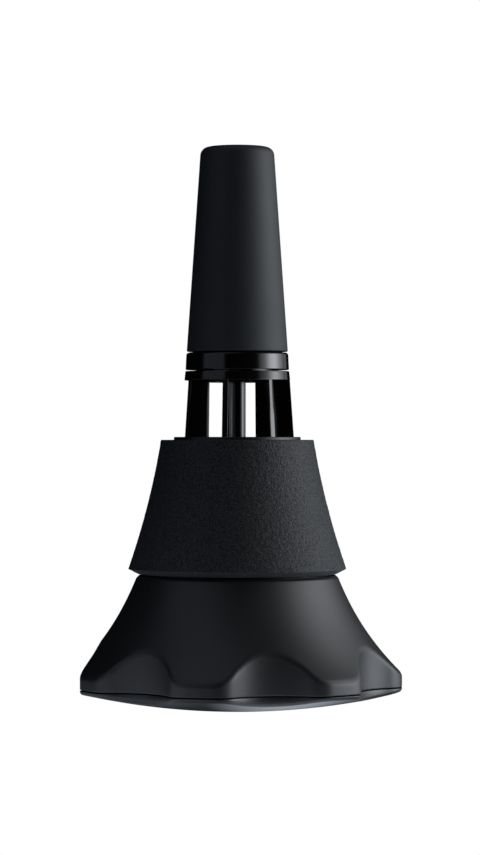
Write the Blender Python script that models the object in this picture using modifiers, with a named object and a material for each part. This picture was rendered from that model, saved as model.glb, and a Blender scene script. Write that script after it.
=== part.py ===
"""A trumpet practice mute, modelled piece by piece as it comes apart on a bench.

Sizes are in millimetres and become metres where a mesh is made. The origin is the
centre of the flat under the base and +Z runs up the mute's axis. The seven lobes of
the foot and the seven fins of the cage share their angles, the first one at +X.

From the floor up: a lobed grip closed by a domed base plate, a flared carrier that
screws into the grip and wears the sealing foam, a finned cage that lets the breath
in, and a long cap that screws on to the cage.
"""

import math

import bmesh
import bpy
from mathutils import Matrix

MM = 0.001

# How finely round shapes are drawn
SEEN_STEPS = 42
LOBED_STEPS = 56
HIDDEN_STEPS = 28
SCALLOP_STEPS = 48
VENT_STEPS = 8
CORNER_STEPS = 4
EDGE_STEPS = 3
FLARE_STEPS = 6
FOAM_STEPS = 5
CARRIER_STEPS = 4
LINING_STEPS = 2
SMOOTH_ANGLE = math.radians(32)

# Fits between neighbouring pieces
CLEARANCE = 0.3
OVERLAP = 0.5

# The outline that grip and base plate share
LOBE_COUNT = 7
LOBE_RADIUS = 43.1
SCALLOP_RADIUS = 16.5
SCALLOP_DEPTH = 6.7

# Base plate
REST_FLAT_RADIUS = 10.5
DOME_RADIUS = 185.0
BASE_RIM = 0.1
BASE_WALL = 2.0
BASE_EDGE = 1.0
BASE_EDGE_TURN = 84.0
BASE_LIP_WALL = 1.7
BASE_LIP_HEIGHT = 4.0
VENT_RADIUS = 0.8
VENT_CIRCLE = 15.5

# Cloth and felt lying on the base plate
SCREEN_MARGIN = 3.5
SCREEN_THICKNESS = 0.6
FELT_INNER_GAP = 1.5
FELT_OUTER_GAP = 1.6
FELT_THICKNESS = 3.0

# Grip shell
GRIP_HEIGHT = 28.95
GRIP_WALL = 1.8
GRIP_TOP_RADIUS = 25.8
GRIP_TOP_CHAMFER = 0.65
GRIP_TOP_SLOPE = 0.42
GRIP_FLARE_POWER = 2.4
GRIP_CROWN_HEIGHT = 4.15
GRIP_CROWN_INSET = 0.8
GRIP_CROWN_DROP = 1.6
GRIP_CROWN_BULGE = 0.2
GRIP_MOUTH_WALL = 1.5
GRIP_LEDGE_REACH = 0.95
GRIP_LEDGE_WALL = 1.6

# Foam carrier
CARRIER_HEIGHT = 35.9
CARRIER_WALL = 1.6
CARRIER_SPIGOT_LENGTH = 7.0
CARRIER_ROOF_DROP = 4.0
CARRIER_SEAT_WIDTH = 2.7
CARRIER_RIM_WALL = 1.1
CARRIER_RIM_CHAMFER = 0.2

# Sealing foam
FOAM_TOP_DROP = 0.75
FOAM_TOP_RADIUS = 20.05
FOAM_OVERHANG = 2.8
FOAM_TOP_SLOPE = 0.16
FOAM_THICKNESS = 3.2
FOAM_END_DROP = 1.4
FOAM_END_RUN = 4.05

# Felt lining of the carrier
LINING_TOP_DROP = 8.0
LINING_FOOT_RISE = 6.75
LINING_THICKNESS = 2.0

# Cage
CAGE_FOOT_THICKNESS = 2.6
FIN_HEIGHT = 14.8
FIN_THICKNESS = 1.5
FIN_FOOT_INSET = 0.34
FIN_FOOT_INNER_INSET = 0.5
FIN_TOP_INSET = 0.1
FIN_TOP_INNER_INSET = 0.3
CAGE_RING_HEIGHT = 2.4
CAGE_RING_RADIUS = 13.85
CAGE_RING_TAPER = 0.25
CAGE_SHOULDER = 4.5
CAGE_SPIGOT_WALL = 1.25
CAGE_SPIGOT_LENGTH = 7.5
RING_CHAMFER = 0.2

# Air tube and the bush that holds it in the cage's floor
TUBE_RADIUS = 2.2
TUBE_WALL = 0.7
TUBE_END_ROOM = 7.6
TUBE_DROP = 25.0
BUSH_WALL = 1.0
BUSH_FLANGE_REACH = 1.4
BUSH_FLANGE_THICKNESS = 1.0

# Flat seals under the cap and under the carrier
CAP_SEAL_WALL = 2.2
CAP_SEAL_HEIGHT = 1.15
CAP_SEAL_PROUD = 0.05
BODY_SEAL_WALL = 1.5
BODY_SEAL_HEIGHT = 1.2

# Cap
COLLAR_GAP = 0.35
COLLAR_HEIGHT = 4.45
COLLAR_STEP = 0.3
COLLAR_TAPER = 0.2
COLLAR_CHAMFER = 0.4
CAP_BORE_ROOM = 1.75
SLEEVE_HEIGHT = 53.6
SLEEVE_STEP = 0.1
SLEEVE_TOP_RADIUS = 9.55
SLEEVE_CORNER = 2.3
SLEEVE_WALL = 1.3
CORE_WALL = 1.4
DAMPER_HEIGHT = 14.0

# The two screw threads, male below or inside and female round it
THREAD_PITCH = 2.5
THREAD_TURNS = 1.25
THREAD_DEPTH = 0.55
THREAD_ROOT_WIDTH = 1.1
THREAD_CREST_WIDTH = 0.5
THREAD_SINK = 0.4
CAP_THREAD_RISE = 3.3
BODY_THREAD_RISE = 0.9


def dome_height(radius):
    """How high the underside of the base plate lies above the floor."""
    def sphere(r):
        return DOME_RADIUS - math.sqrt(DOME_RADIUS**2 - r**2)

    return max(0.0, sphere(radius) - sphere(REST_FLAT_RADIUS))


# Heights of the joints between the pieces, from the floor up
BASE_HEIGHT = dome_height(LOBE_RADIUS - BASE_EDGE) + BASE_EDGE + BASE_RIM
GRIP_FOOT = BASE_HEIGHT + CLEARANCE
GRIP_TOP = GRIP_FOOT + GRIP_HEIGHT
SHOULDER = GRIP_TOP + CLEARANCE
CARRIER_TOP = SHOULDER + CARRIER_HEIGHT
CAGE_RING_FOOT = CARRIER_TOP + FIN_HEIGHT
CAGE_RING_TOP = CAGE_RING_FOOT + CAGE_RING_HEIGHT
COLLAR_FOOT = CAGE_RING_TOP + COLLAR_GAP
COLLAR_TOP = COLLAR_FOOT + COLLAR_HEIGHT
SLEEVE_FOOT = COLLAR_TOP + CLEARANCE
SLEEVE_TOP = SLEEVE_FOOT + SLEEVE_HEIGHT
GRIP_FLARE_REACH = GRIP_HEIGHT - GRIP_TOP_CHAMFER - GRIP_CROWN_HEIGHT
FOAM_TOP = CARRIER_TOP - FOAM_TOP_DROP
FOAM_HEIGHT = FOAM_TOP - SHOULDER - FOAM_END_DROP
LINING_BOTTOM_DROP = FOAM_HEIGHT - LINING_FOOT_RISE
CAGE_FLOOR = CARRIER_TOP - CAGE_FOOT_THICKNESS

# Radii of base, grip and carrier, each fitted to the piece round it
SCALLOP_CENTRE = LOBE_RADIUS - SCALLOP_DEPTH + SCALLOP_RADIUS
BASE_LIP_RADIUS = LOBE_RADIUS - SCALLOP_DEPTH - GRIP_WALL - CLEARANCE
BASE_LIP_INNER_RADIUS = BASE_LIP_RADIUS - BASE_LIP_WALL
SCREEN_RADIUS = VENT_CIRCLE + SCREEN_MARGIN
FELT_INNER_RADIUS = SCREEN_RADIUS + FELT_INNER_GAP
FELT_OUTER_RADIUS = BASE_LIP_INNER_RADIUS - FELT_OUTER_GAP
BODY_BORE_RADIUS = GRIP_TOP_RADIUS - GRIP_MOUTH_WALL
CARRIER_SPIGOT_RADIUS = BODY_BORE_RADIUS - THREAD_DEPTH - CLEARANCE
GRIP_LEDGE_RADIUS = CARRIER_SPIGOT_RADIUS - BODY_SEAL_WALL - GRIP_LEDGE_REACH
FOAM_BOTTOM_RADIUS = GRIP_TOP_RADIUS + FOAM_OVERHANG
FOAM_SKIN = FOAM_THICKNESS + CLEARANCE
CARRIER_RIM_RADIUS = FOAM_TOP_RADIUS - FOAM_SKIN / math.hypot(1.0, FOAM_TOP_SLOPE)

# Radii of cage, tube and cap
CAGE_FOOT_RADIUS = CARRIER_RIM_RADIUS - CARRIER_RIM_WALL - CLEARANCE
CARRIER_SEAT_RADIUS = CAGE_FOOT_RADIUS - CARRIER_SEAT_WIDTH
CAGE_SPIGOT_RADIUS = CAGE_RING_RADIUS - CAGE_SHOULDER
CAGE_BORE_RADIUS = CAGE_SPIGOT_RADIUS - CAGE_SPIGOT_WALL
BUSH_NECK_RADIUS = TUBE_RADIUS + CLEARANCE + BUSH_WALL
COLLAR_RADIUS = CAGE_RING_RADIUS - COLLAR_STEP
SLEEVE_FOOT_RADIUS = COLLAR_RADIUS - COLLAR_TAPER - SLEEVE_STEP
CAP_BORE_RADIUS = CAGE_SPIGOT_RADIUS + THREAD_DEPTH + CLEARANCE
CAP_SEAL_RADIUS = CAGE_SPIGOT_RADIUS + CLEARANCE
CAP_SEAT_RADIUS = CAP_SEAL_RADIUS + CAP_SEAL_WALL + CLEARANCE

# Heights of the ledge, seals, threads and cap's inside
BODY_LEDGE = SHOULDER - CARRIER_SPIGOT_LENGTH - 2 * CLEARANCE - BODY_SEAL_HEIGHT
CAP_SEAL_TOP = CAGE_RING_TOP + CAP_SEAL_PROUD
CAP_SEAL_FOOT = CAP_SEAL_TOP - CAP_SEAL_HEIGHT
BODY_THREAD_START = SHOULDER - CARRIER_SPIGOT_LENGTH + BODY_THREAD_RISE
CAP_THREAD_START = CAGE_RING_TOP + CAP_THREAD_RISE
CAP_BORE_END = CAGE_RING_TOP + CAGE_SPIGOT_LENGTH + CAP_BORE_ROOM
DAMPER_SKIN = SLEEVE_WALL + CORE_WALL + 2 * CLEARANCE
DAMPER_TOP = SLEEVE_TOP - DAMPER_SKIN
DAMPER_FOOT = DAMPER_TOP - DAMPER_HEIGHT

PARTS = "Trumpet practice mute"
HELPERS = "Cutters and joined shapes"


def clear_scene():
    """Removes every object, so that the scene holds only the mute."""
    for old in list(bpy.data.objects):
        bpy.data.objects.remove(old, do_unlink=True)


def new_collection(name):
    """Makes a collection under the scene's own."""
    collection = bpy.data.collections.new(name)
    bpy.context.scene.collection.children.link(collection)
    return collection


def new_material(name, color, roughness, metallic=0.0):
    """Makes a Principled material of one colour."""
    material = bpy.data.materials.new(name)
    material.use_nodes = True
    shader = material.node_tree.nodes["Principled BSDF"]
    shader.inputs["Base Color"].default_value = (*color, 1.0)
    shader.inputs["Roughness"].default_value = roughness
    shader.inputs["Metallic"].default_value = metallic
    material.diffuse_color = (*color, 1.0)
    return material


def add_object(name, mesh):
    """Puts a mesh in the scene as a part of the mute."""
    part = bpy.data.objects.new(name, mesh)
    bpy.data.collections[PARTS].objects.link(part)
    return part


def as_helper(shape):
    """Turns an object into a hidden shape that others are cut by or joined with."""
    bpy.data.collections[PARTS].objects.unlink(shape)
    bpy.data.collections[HELPERS].objects.link(shape)
    shape.hide_render = True
    shape.display_type = "WIRE"
    return shape


def turned(name, outline, steps):
    """Turns an outline of (radius, height) points about the axis.

    The outline runs down the outer side. It starts and ends on the axis for a piece
    that is closed there, and otherwise it is a loop.
    """
    mesh = bpy.data.meshes.new(name)
    points = [(radius * MM, 0.0, height * MM) for radius, height in outline]
    edges = [(i, i + 1) for i in range(len(points) - 1)]
    if outline[0][0] > 0:
        edges.append((len(points) - 1, 0))
    mesh.from_pydata(points, edges, [])
    part = add_object(name, mesh)
    screw = part.modifiers.new("Turn", "SCREW")
    screw.steps = steps
    screw.render_steps = steps
    screw.use_merge_vertices = True
    screw.merge_threshold = 0.01 * MM
    screw.use_smooth_shade = True
    return part


def boolean(part, other, operation):
    """Cuts a part by another shape, or joins the shape to it."""
    modifier = part.modifiers.new(other.name, "BOOLEAN")
    modifier.operation = operation
    modifier.object = other
    modifier.solver = "EXACT"


def turn_about_axis(bm, geometry, angle):
    """Turns part of a mesh about the mute's axis."""
    bmesh.ops.rotate(bm, verts=geometry, matrix=Matrix.Rotation(angle, 3, "Z"))


def ring_of(name, build, angles):
    """One helper that holds a copy of a shape at each angle round the axis."""
    bm = bmesh.new()
    for angle in angles:
        turn_about_axis(bm, build(bm), angle)
    mesh = bpy.data.meshes.new(name)
    bm.to_mesh(mesh)
    bm.free()
    return as_helper(add_object(name, mesh))


def lobe_angles(shift=0.0):
    """The angles of the lobes and fins, or with a shift of 0.5 those between them."""
    return [math.tau * (i + shift) / LOBE_COUNT for i in range(LOBE_COUNT)]


def upright(bm, radius, low, high, x, steps):
    """A cylinder that stands on the plane through +X, and its points."""
    place = Matrix.Translation((x * MM, 0.0, (low + high) / 2 * MM))
    made = bmesh.ops.create_cone(
        bm,
        cap_ends=True,
        segments=steps,
        radius1=radius * MM,
        radius2=radius * MM,
        depth=(high - low) * MM,
        matrix=place,
    )
    return made["verts"]


def scallops(name, wall):
    """The upright cylinders that cut the scallops, larger by a wall for the hollow."""
    def build(bm):
        radius = SCALLOP_RADIUS + wall
        return upright(bm, radius, -OVERLAP, GRIP_TOP, SCALLOP_CENTRE, SCALLOP_STEPS)

    return ring_of(name, build, lobe_angles(0.5))


def thread_ridge(name, root_radius, crest_radius, low, steps):
    """A right-handed ridge that winds up from a height, sunk a little into its wall."""
    inward = math.copysign(THREAD_SINK, crest_radius - root_radius)
    root = THREAD_ROOT_WIDTH / 2
    crest = THREAD_CREST_WIDTH / 2
    corners = [
        (root_radius - inward, low - root),
        (crest_radius, low - crest),
        (crest_radius, low + crest),
        (root_radius - inward, low + root),
    ]
    bm = bmesh.new()
    section = bm.faces.new([bm.verts.new((r * MM, 0.0, z * MM)) for r, z in corners])
    bmesh.ops.spin(
        bm,
        geom=[section, *section.edges, *section.verts],
        cent=(0.0, 0.0, 0.0),
        axis=(0.0, 0.0, 1.0),
        dvec=(0.0, 0.0, THREAD_PITCH / steps * MM),
        angle=math.tau * THREAD_TURNS,
        steps=round(steps * THREAD_TURNS),
        use_duplicate=False,
    )
    bmesh.ops.recalc_face_normals(bm, faces=bm.faces)
    mesh = bpy.data.meshes.new(name)
    bm.to_mesh(mesh)
    bm.free()
    return as_helper(add_object(name, mesh))


def dome_line(inner, outer, steps, rise=0.0):
    """Points along the dome from one radius to another, at a height above it."""
    radii = [inner + (outer - inner) * i / steps for i in range(steps + 1)]
    return [(r, dome_height(r) + rise) for r in radii]


def arc(centre, radius, start, end, steps):
    """Points round a centre, with angles in degrees from straight outwards."""
    turns = [math.radians(start + (end - start) * i / steps) for i in range(steps + 1)]
    return [
        (centre[0] + radius * math.cos(a), centre[1] + radius * math.sin(a))
        for a in turns
    ]


def base_plate():
    """The domed plate under the grip, with its flat, its lip and its vents."""
    edge_radius = LOBE_RADIUS - BASE_EDGE
    edge_centre = (edge_radius, dome_height(edge_radius) + BASE_EDGE)
    lip_top = BASE_HEIGHT + BASE_LIP_HEIGHT
    outline = [
        (0.0, BASE_WALL),
        *dome_line(REST_FLAT_RADIUS, BASE_LIP_INNER_RADIUS, EDGE_STEPS, BASE_WALL),
        (BASE_LIP_INNER_RADIUS, lip_top),
        (BASE_LIP_RADIUS, lip_top),
        (BASE_LIP_RADIUS, BASE_HEIGHT),
        (LOBE_RADIUS, BASE_HEIGHT),
        *arc(edge_centre, BASE_EDGE, 0, -BASE_EDGE_TURN, EDGE_STEPS),
        *dome_line(edge_radius - BASE_EDGE, REST_FLAT_RADIUS, EDGE_STEPS),
        (0.0, 0.0),
    ]
    plate = turned("base_plate", outline, LOBED_STEPS)
    boolean(plate, scallops("base_scallops", 0.0), "DIFFERENCE")

    def vent(bm):
        high = dome_height(VENT_CIRCLE + VENT_RADIUS) + BASE_WALL + OVERLAP
        return upright(bm, VENT_RADIUS, -OVERLAP, high, VENT_CIRCLE, VENT_STEPS)

    boolean(plate, ring_of("vents", vent, lobe_angles(0.5)), "DIFFERENCE")
    return plate


def vent_screen():
    """The cloth disc that lies over the vents."""
    rise = BASE_WALL + CLEARANCE
    outline = [
        (0.0, rise + SCREEN_THICKNESS),
        *dome_line(REST_FLAT_RADIUS, SCREEN_RADIUS, 1, rise + SCREEN_THICKNESS),
        *dome_line(SCREEN_RADIUS, REST_FLAT_RADIUS, 1, rise),
        (0.0, rise),
    ]
    return turned("vent_screen", outline, HIDDEN_STEPS)


def base_felt():
    """The ring of felt that lies on the base plate and damps the lower chamber."""
    rise = BASE_WALL + CLEARANCE
    top = dome_line(FELT_INNER_RADIUS, FELT_OUTER_RADIUS, 1, rise + FELT_THICKNESS)
    under = dome_line(FELT_OUTER_RADIUS, FELT_INNER_RADIUS, 1, rise)
    return turned("base_felt", top + under, HIDDEN_STEPS)


def grip_flare(depth):
    """The grip's (radius, slope) at a depth below the chamfer at its top."""
    first = GRIP_TOP_RADIUS + GRIP_TOP_CHAMFER
    last = LOBE_RADIUS - GRIP_CROWN_INSET
    swell = last - first - GRIP_TOP_SLOPE * GRIP_FLARE_REACH
    share = max(depth, 0.0) / GRIP_FLARE_REACH
    radius = first + GRIP_TOP_SLOPE * depth + swell * share**GRIP_FLARE_POWER
    bend = swell * GRIP_FLARE_POWER / GRIP_FLARE_REACH * share ** (GRIP_FLARE_POWER - 1)
    return radius, GRIP_TOP_SLOPE + bend


def grip_line(inset):
    """Points down the flare, set in from its surface."""
    points = []
    for i in range(FLARE_STEPS + 1):
        depth = GRIP_FLARE_REACH * i / FLARE_STEPS
        radius, slope = grip_flare(depth)
        length = math.hypot(1.0, slope)
        height = GRIP_TOP - GRIP_TOP_CHAMFER - depth
        points.append((radius - inset / length, height - inset * slope / length))
    return points


def grip_shell():
    """The lobed shell, hollow, with a threaded mouth and a ledge for the seal."""
    crown = GRIP_FOOT + GRIP_CROWN_HEIGHT - GRIP_CROWN_DROP
    outline = [
        (0.0, GRIP_TOP),
        (GRIP_TOP_RADIUS, GRIP_TOP),
        *grip_line(0.0),
        (LOBE_RADIUS - GRIP_CROWN_BULGE, crown + GRIP_CROWN_DROP / 2),
        (LOBE_RADIUS, crown),
        (LOBE_RADIUS, GRIP_FOOT),
        (0.0, GRIP_FOOT),
    ]
    shell = turned("grip_shell", outline, LOBED_STEPS)
    boolean(shell, scallops("grip_scallops", 0.0), "DIFFERENCE")
    boolean(shell, grip_hollow(), "DIFFERENCE")
    start = BODY_THREAD_START + THREAD_PITCH / 2
    crest = BODY_BORE_RADIUS - THREAD_DEPTH
    ridge = thread_ridge("grip_thread", BODY_BORE_RADIUS, crest, start, HIDDEN_STEPS)
    boolean(shell, ridge, "UNION")
    return shell


def grip_hollow():
    """The space inside the grip: threaded mouth, ledge and lobed chamber."""
    under_ledge = BODY_LEDGE - GRIP_LEDGE_WALL
    wall_line = [p for p in grip_line(GRIP_WALL) if p[1] < under_ledge - OVERLAP]
    roof_radius, slope = grip_flare(GRIP_TOP - GRIP_TOP_CHAMFER - under_ledge)
    roof_radius -= GRIP_WALL * math.hypot(1.0, slope)
    outline = [
        (0.0, GRIP_TOP + OVERLAP),
        (BODY_BORE_RADIUS, GRIP_TOP + OVERLAP),
        (BODY_BORE_RADIUS, BODY_LEDGE),
        (GRIP_LEDGE_RADIUS, BODY_LEDGE),
        (GRIP_LEDGE_RADIUS, under_ledge),
        (roof_radius, under_ledge),
        *wall_line,
        (LOBE_RADIUS - GRIP_WALL, GRIP_FOOT + GRIP_CROWN_HEIGHT / 2),
        (LOBE_RADIUS - GRIP_WALL, GRIP_FOOT - OVERLAP),
        (0.0, GRIP_FOOT - OVERLAP),
    ]
    hollow = as_helper(turned("grip_hollow", outline, LOBED_STEPS))
    boolean(hollow, scallops("hollow_scallops", GRIP_WALL), "DIFFERENCE")
    return hollow


def foam_line(inset, start, end, steps):
    """Points down the foam's outer face between two depths, set in from it."""
    bow = (FOAM_BOTTOM_RADIUS - FOAM_TOP_RADIUS) - FOAM_TOP_SLOPE * FOAM_HEIGHT
    points = []
    for i in range(steps + 1):
        depth = start + (end - start) * i / steps
        share = depth / FOAM_HEIGHT
        radius = FOAM_TOP_RADIUS + FOAM_TOP_SLOPE * depth + bow * share**2
        slope = FOAM_TOP_SLOPE + 2 * bow * share / FOAM_HEIGHT
        length = math.hypot(1.0, slope)
        points.append((radius - inset / length, FOAM_TOP - depth - inset * slope / length))
    return points


def sealing_foam():
    """The flared foam ring that seals the mute in the bell."""
    outer = foam_line(0.0, 0.0, FOAM_HEIGHT, FOAM_STEPS)
    inner = foam_line(FOAM_THICKNESS, FOAM_HEIGHT - FOAM_END_RUN, 0.0, CARRIER_STEPS)
    end = (GRIP_TOP_RADIUS, outer[-1][1] - FOAM_END_DROP)
    top = (inner[-1][0], FOAM_TOP)
    return turned("sealing_foam", [*outer, end, *inner[:-1], top], SEEN_STEPS)


def foam_carrier():
    """The flared tube under the foam, with the cage's seat and a threaded spigot."""
    foot = FOAM_HEIGHT - FOAM_END_RUN
    outer = foam_line(FOAM_SKIN, 0.0, foot, CARRIER_STEPS)
    inner = foam_line(FOAM_SKIN + CARRIER_WALL, foot, CARRIER_ROOF_DROP, CARRIER_STEPS)
    seat_radius = CAGE_FOOT_RADIUS + CLEARANCE
    seat = CAGE_FLOOR - CLEARANCE
    spigot_end = SHOULDER - CARRIER_SPIGOT_LENGTH
    spigot_inner = CARRIER_SPIGOT_RADIUS - CARRIER_WALL
    outline = [
        (CARRIER_RIM_RADIUS - CARRIER_RIM_CHAMFER, CARRIER_TOP),
        (CARRIER_RIM_RADIUS, CARRIER_TOP - CARRIER_RIM_CHAMFER),
        *outer,
        (GRIP_TOP_RADIUS - CLEARANCE, SHOULDER),
        (CARRIER_SPIGOT_RADIUS, SHOULDER),
        (CARRIER_SPIGOT_RADIUS, spigot_end),
        (spigot_inner, spigot_end),
        (spigot_inner, SHOULDER + CARRIER_WALL),
        *inner,
        (CARRIER_SEAT_RADIUS, inner[-1][1]),
        (CARRIER_SEAT_RADIUS, seat),
        (seat_radius, seat),
        (seat_radius, CARRIER_TOP),
    ]
    carrier = turned("foam_carrier", outline, SEEN_STEPS)
    crest = CARRIER_SPIGOT_RADIUS + THREAD_DEPTH
    ridge = thread_ridge(
        "carrier_thread", CARRIER_SPIGOT_RADIUS, crest, BODY_THREAD_START, HIDDEN_STEPS
    )
    boolean(carrier, ridge, "UNION")
    return carrier


def carrier_lining():
    """The felt that lines the carrier's inside."""
    outside = FOAM_SKIN + CARRIER_WALL + CLEARANCE
    inside = outside + LINING_THICKNESS
    outer = foam_line(outside, LINING_TOP_DROP, LINING_BOTTOM_DROP, LINING_STEPS)
    inner = foam_line(inside, LINING_BOTTOM_DROP, LINING_TOP_DROP, LINING_STEPS)
    return turned("carrier_lining", outer + inner, HIDDEN_STEPS)


def body_seal():
    """The flat ring that the carrier's spigot presses on the grip's ledge."""
    outer = CARRIER_SPIGOT_RADIUS
    foot = BODY_LEDGE + CLEARANCE
    return seal("body_seal", outer - BODY_SEAL_WALL, outer, foot, BODY_SEAL_HEIGHT)


def cap_seal():
    """The flat ring in the cage's top, which the cap's collar presses."""
    outer = CAP_SEAL_RADIUS + CAP_SEAL_WALL
    return seal("cap_seal", CAP_SEAL_RADIUS, outer, CAP_SEAL_FOOT, CAP_SEAL_HEIGHT)


def seal(name, inner, outer, foot, height):
    """A flat ring."""
    top = foot + height
    outline = [(outer, top), (outer, foot), (inner, foot), (inner, top)]
    return turned(name, outline, HIDDEN_STEPS)


def cage():
    """Floor, seven fins, ring and threaded spigot, moulded as one."""
    spigot_top = CAGE_RING_TOP + CAGE_SPIGOT_LENGTH
    ring_top_radius = CAGE_RING_RADIUS - CAGE_RING_TAPER
    seat = CAP_SEAL_FOOT - CLEARANCE
    outline = [
        (CAGE_SPIGOT_RADIUS, spigot_top),
        (CAGE_SPIGOT_RADIUS, seat),
        (CAP_SEAT_RADIUS, seat),
        (CAP_SEAT_RADIUS, CAGE_RING_TOP),
        (ring_top_radius - RING_CHAMFER, CAGE_RING_TOP),
        (ring_top_radius, CAGE_RING_TOP - RING_CHAMFER),
        (CAGE_RING_RADIUS, CAGE_RING_FOOT),
        (CAGE_BORE_RADIUS, CAGE_RING_FOOT),
        (CAGE_BORE_RADIUS, spigot_top),
    ]
    frame = turned("cage", outline, SEEN_STEPS)
    hole = BUSH_NECK_RADIUS + CLEARANCE
    floor_outline = [
        (CAGE_FOOT_RADIUS, CARRIER_TOP),
        (CAGE_FOOT_RADIUS, CAGE_FLOOR),
        (hole, CAGE_FLOOR),
        (hole, CARRIER_TOP),
    ]
    floor = as_helper(turned("cage_floor", floor_outline, SEEN_STEPS))
    boolean(frame, ring_of("fins", fin, lobe_angles()), "UNION")
    boolean(frame, floor, "UNION")
    crest = CAGE_SPIGOT_RADIUS + THREAD_DEPTH
    ridge = thread_ridge("cage_thread", CAGE_SPIGOT_RADIUS, crest, CAP_THREAD_START, HIDDEN_STEPS)
    boolean(frame, ridge, "UNION")
    return frame


def fin(bm):
    """One fin of the cage at +X, a block drawn in to the fin's tapering outline."""
    made = bmesh.ops.create_cube(bm, size=1.0)
    radii = {
        (False, False): CAGE_BORE_RADIUS + FIN_FOOT_INNER_INSET,
        (False, True): CAGE_FOOT_RADIUS - FIN_FOOT_INSET,
        (True, False): CAGE_BORE_RADIUS + FIN_TOP_INNER_INSET,
        (True, True): CAGE_RING_RADIUS - FIN_TOP_INSET,
    }
    for vert in made["verts"]:
        at_top = vert.co.z > 0
        radius = radii[at_top, vert.co.x > 0]
        height = CAGE_RING_FOOT + OVERLAP if at_top else CARRIER_TOP - OVERLAP
        side = math.copysign(FIN_THICKNESS / 2, vert.co.y)
        vert.co = (radius * MM, side * MM, height * MM)
    return made["verts"]


def air_tube():
    """The slim tube from the cap down into the lower chamber."""
    top = DAMPER_FOOT - TUBE_END_ROOM
    foot = CARRIER_TOP - TUBE_DROP
    bore = TUBE_RADIUS - TUBE_WALL
    outline = [(TUBE_RADIUS, top), (TUBE_RADIUS, foot), (bore, foot), (bore, top)]
    return turned("air_tube", outline, HIDDEN_STEPS)


def tube_bush():
    """The rubber bush that grips the air tube in the cage's floor."""
    inner = TUBE_RADIUS + CLEARANCE
    flange = BUSH_NECK_RADIUS + BUSH_FLANGE_REACH
    under = CAGE_FLOOR - CLEARANCE
    foot = under - BUSH_FLANGE_THICKNESS
    outline = [
        (BUSH_NECK_RADIUS, CARRIER_TOP),
        (BUSH_NECK_RADIUS, under),
        (flange, under),
        (flange, foot),
        (inner, foot),
        (inner, CARRIER_TOP),
    ]
    return turned("tube_bush", outline, HIDDEN_STEPS)


def sleeve_radius(height):
    """The sleeve's outer radius at a height, along its taper."""
    share = (height - SLEEVE_FOOT) / SLEEVE_HEIGHT
    return SLEEVE_FOOT_RADIUS + (SLEEVE_TOP_RADIUS - SLEEVE_FOOT_RADIUS) * share


def cap_line(inset):
    """The cap's closed end and side, from the axis down, set in from the sleeve."""
    centre_height = SLEEVE_TOP - SLEEVE_CORNER
    corner = SLEEVE_CORNER - inset
    top = SLEEVE_TOP - inset
    if corner <= 0:
        return [(0.0, top), (sleeve_radius(top) - inset, top)]
    centre = (sleeve_radius(centre_height) - SLEEVE_CORNER, centre_height)
    return [(0.0, top), *arc(centre, corner, 90, 4, CORNER_STEPS)]


def cap_sleeve():
    """The soft sleeve drawn over the cap."""
    inner_foot = (SLEEVE_FOOT_RADIUS - SLEEVE_WALL, SLEEVE_FOOT)
    outer = [*cap_line(0.0), (SLEEVE_FOOT_RADIUS, SLEEVE_FOOT)]
    inner = [*cap_line(SLEEVE_WALL), inner_foot]
    return turned("cap_sleeve", outer + inner[::-1], SEEN_STEPS)


def cap_core():
    """The rigid cap: closed tube, collar and threaded mouth."""
    skin = SLEEVE_WALL + CLEARANCE
    wall = skin + CORE_WALL
    collar_top_radius = COLLAR_RADIUS - COLLAR_TAPER
    outline = [
        *cap_line(skin),
        (SLEEVE_FOOT_RADIUS - skin, COLLAR_TOP),
        (collar_top_radius - COLLAR_CHAMFER, COLLAR_TOP),
        (collar_top_radius, COLLAR_TOP - COLLAR_CHAMFER),
        (COLLAR_RADIUS, COLLAR_FOOT + RING_CHAMFER),
        (COLLAR_RADIUS - RING_CHAMFER, COLLAR_FOOT),
        (CAP_BORE_RADIUS, COLLAR_FOOT),
        (CAP_BORE_RADIUS, CAP_BORE_END),
        (sleeve_radius(CAP_BORE_END) - wall, CAP_BORE_END),
        *cap_line(wall)[::-1],
    ]
    core = turned("cap_core", outline, SEEN_STEPS)
    crest = CAP_BORE_RADIUS - THREAD_DEPTH
    start = CAP_THREAD_START - THREAD_PITCH / 2
    ridge = thread_ridge("cap_thread", CAP_BORE_RADIUS, crest, start, HIDDEN_STEPS)
    boolean(core, ridge, "UNION")
    return core


def cap_damper():
    """The felt plug in the cap's closed end."""
    outline = [
        (0.0, DAMPER_TOP),
        (sleeve_radius(DAMPER_TOP) - DAMPER_SKIN, DAMPER_TOP),
        (sleeve_radius(DAMPER_FOOT) - DAMPER_SKIN, DAMPER_FOOT),
        (0.0, DAMPER_FOOT),
    ]
    return turned("cap_damper", outline, HIDDEN_STEPS)


def finish(part, material):
    """Makes a part's modifiers final, shades it smooth and gives it its material."""
    graph = bpy.context.evaluated_depsgraph_get()
    mesh = bpy.data.meshes.new_from_object(part.evaluated_get(graph))
    part.modifiers.clear()
    part.data = mesh
    mesh.materials.clear()
    mesh.materials.append(material)
    mesh.shade_smooth()
    mesh.set_sharp_from_angle(angle=SMOOTH_ANGLE)


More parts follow.
